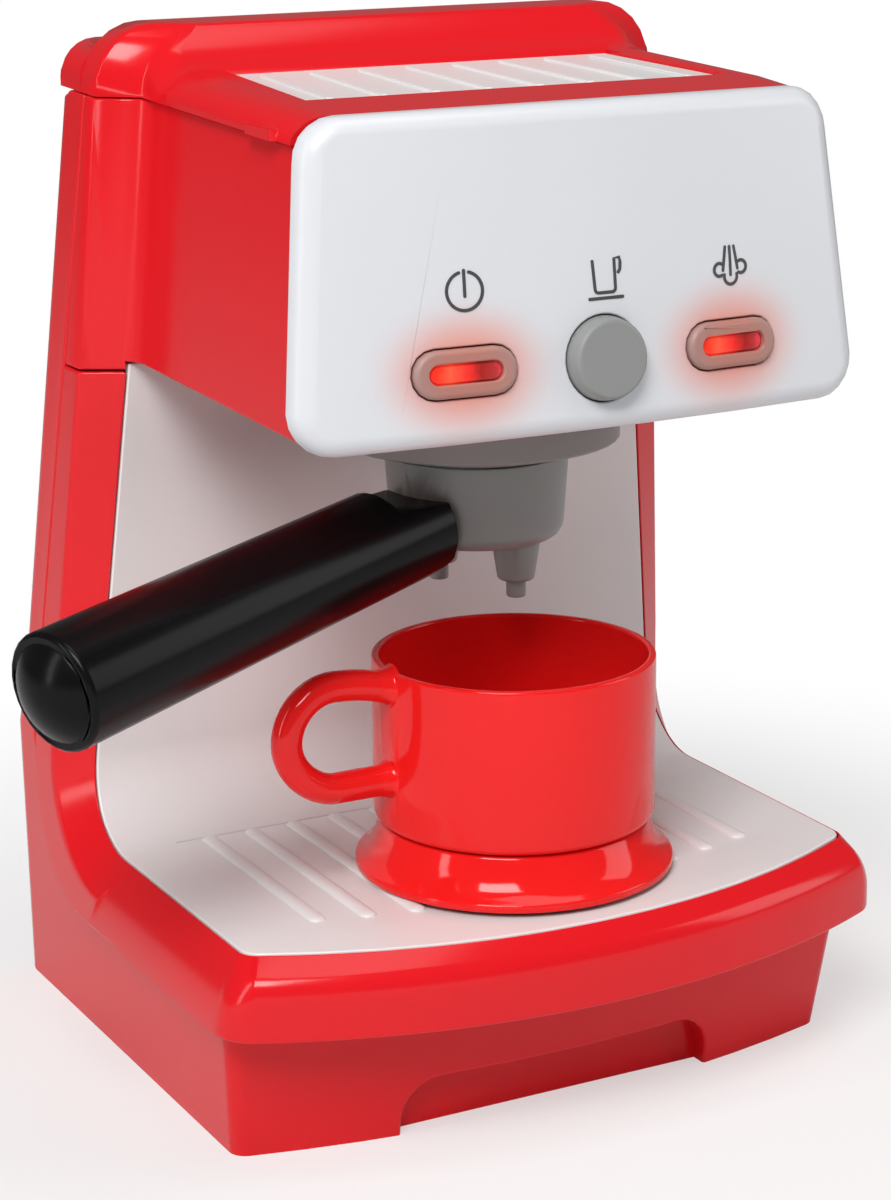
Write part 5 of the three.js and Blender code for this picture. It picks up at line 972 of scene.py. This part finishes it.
quarter_round = 0.5523
loop_radius = 0.01119
loop_reach = 0.01234
loop_x = cup_x - cup_radius - loop_reach
loop_middle = 0.08388
loop_section = 0.003355
loop_pull = loop_radius * quarter_round
loop_sink = 0.0009
wall_x = cup_x - cup_radius + loop_sink
loop_high = loop_middle + loop_radius
loop_fall = 0.0018
loop_low = loop_middle - loop_radius
slope = loop_fall / (wall_x - loop_x)
flare_middle = 0.0012
flare_end = 0.0036
root_swell = 1.42
flare_swell = 1.2
loop_root = loop_high - loop_fall
loop_route = [
    ((wall_x, loop_root), (-0.0008, 0.0008 * slope), root_swell),
    (
        (wall_x - flare_middle, loop_root + flare_middle * slope), (-0.0006, 0.0006 * slope),
        flare_swell,
    ),
    ((wall_x - flare_end, loop_root + flare_end * slope), (-0.001, 0.001 * slope), 1),
    ((loop_x, loop_high), (-loop_pull, 0.0002), 1),
    ((loop_x - loop_radius, loop_middle), (0, -loop_pull), 1),
    ((loop_x, loop_low), (loop_pull * 0.8, 0), 1),
    ((wall_x - flare_end, loop_low), (0.001, 0), 1),
    ((wall_x - flare_middle, loop_low), (0.0006, 0), flare_swell),
    ((wall_x, loop_low), (0.0008, 0), root_swell),
]
clear_selection()
bpy.ops.curve.primitive_bezier_curve_add()
loop = bpy.context.object
route = loop.data.splines[0]
route.bezier_points.add(len(loop_route) - 2)
for point, (at, way, swell) in zip(route.bezier_points, loop_route):
    point.handle_left_type = "FREE"
    point.handle_right_type = "FREE"
    point.co = (at[0], cup_y, at[1])
    point.handle_left = (at[0] - way[0], cup_y, at[1] - way[1])
    point.handle_right = (at[0] + way[0], cup_y, at[1] + way[1])
    point.radius = swell
loop.data.dimensions = "3D"
loop.data.resolution_u = 14
loop.data.bevel_depth = loop_section
loop.data.bevel_resolution = 8
loop.data.use_fill_caps = True
bpy.ops.object.convert(target="MESH")
loop = bpy.context.object
bpy.ops.object.mode_set(mode="EDIT")
bpy.ops.mesh.select_all(action="SELECT")
bpy.ops.mesh.remove_doubles(threshold=0.000002)
bpy.ops.mesh.normals_make_consistent(inside=False)
bpy.ops.object.mode_set(mode="OBJECT")
fuse(cup, loop)
smooth(cup, 40, weighted=False)
finish_piece(cup, "play_cup", "cup", cup_red, ["cup"])

# Saucer
# A flared ring of the same plastic, moulded with a thin lip that stands on the tray's bars and a
# well that takes the cup's foot.
saucer_radius = 0.0348
saucer_low = 0.0497
well_radius = 0.0258
well_floor = 0.0581
well_under = 0.0565
well_rim = 0.0602
saucer = turned(eased([
    (0, well_floor, 0), (well_radius, well_floor, 0.0005), (well_radius, well_rim, 0.0004),
    (0.0293, well_rim, 0.0007), (0.03078, 0.05593, 0.0014), (0.03205, 0.0537, 0.0011),
    (0.03337, 0.05237, 0.0008), (saucer_radius, 0.0513, 0.0004),
    (saucer_radius, saucer_low, 0.0004), (0.0332, saucer_low, 0.0004),
    (0.03177, 0.05157, 0.0006), (0.03045, 0.0529, 0.0006), (0.02918, 0.05513, 0.0006),
    (0.0277, well_under, 0.0006), (0, well_under, 0),
]), cup_x, cup_y, round_steps)
smooth(saucer, 40, weighted=False)
finish_piece(saucer, "play_saucer", "saucer", cup_red, ["saucer"])
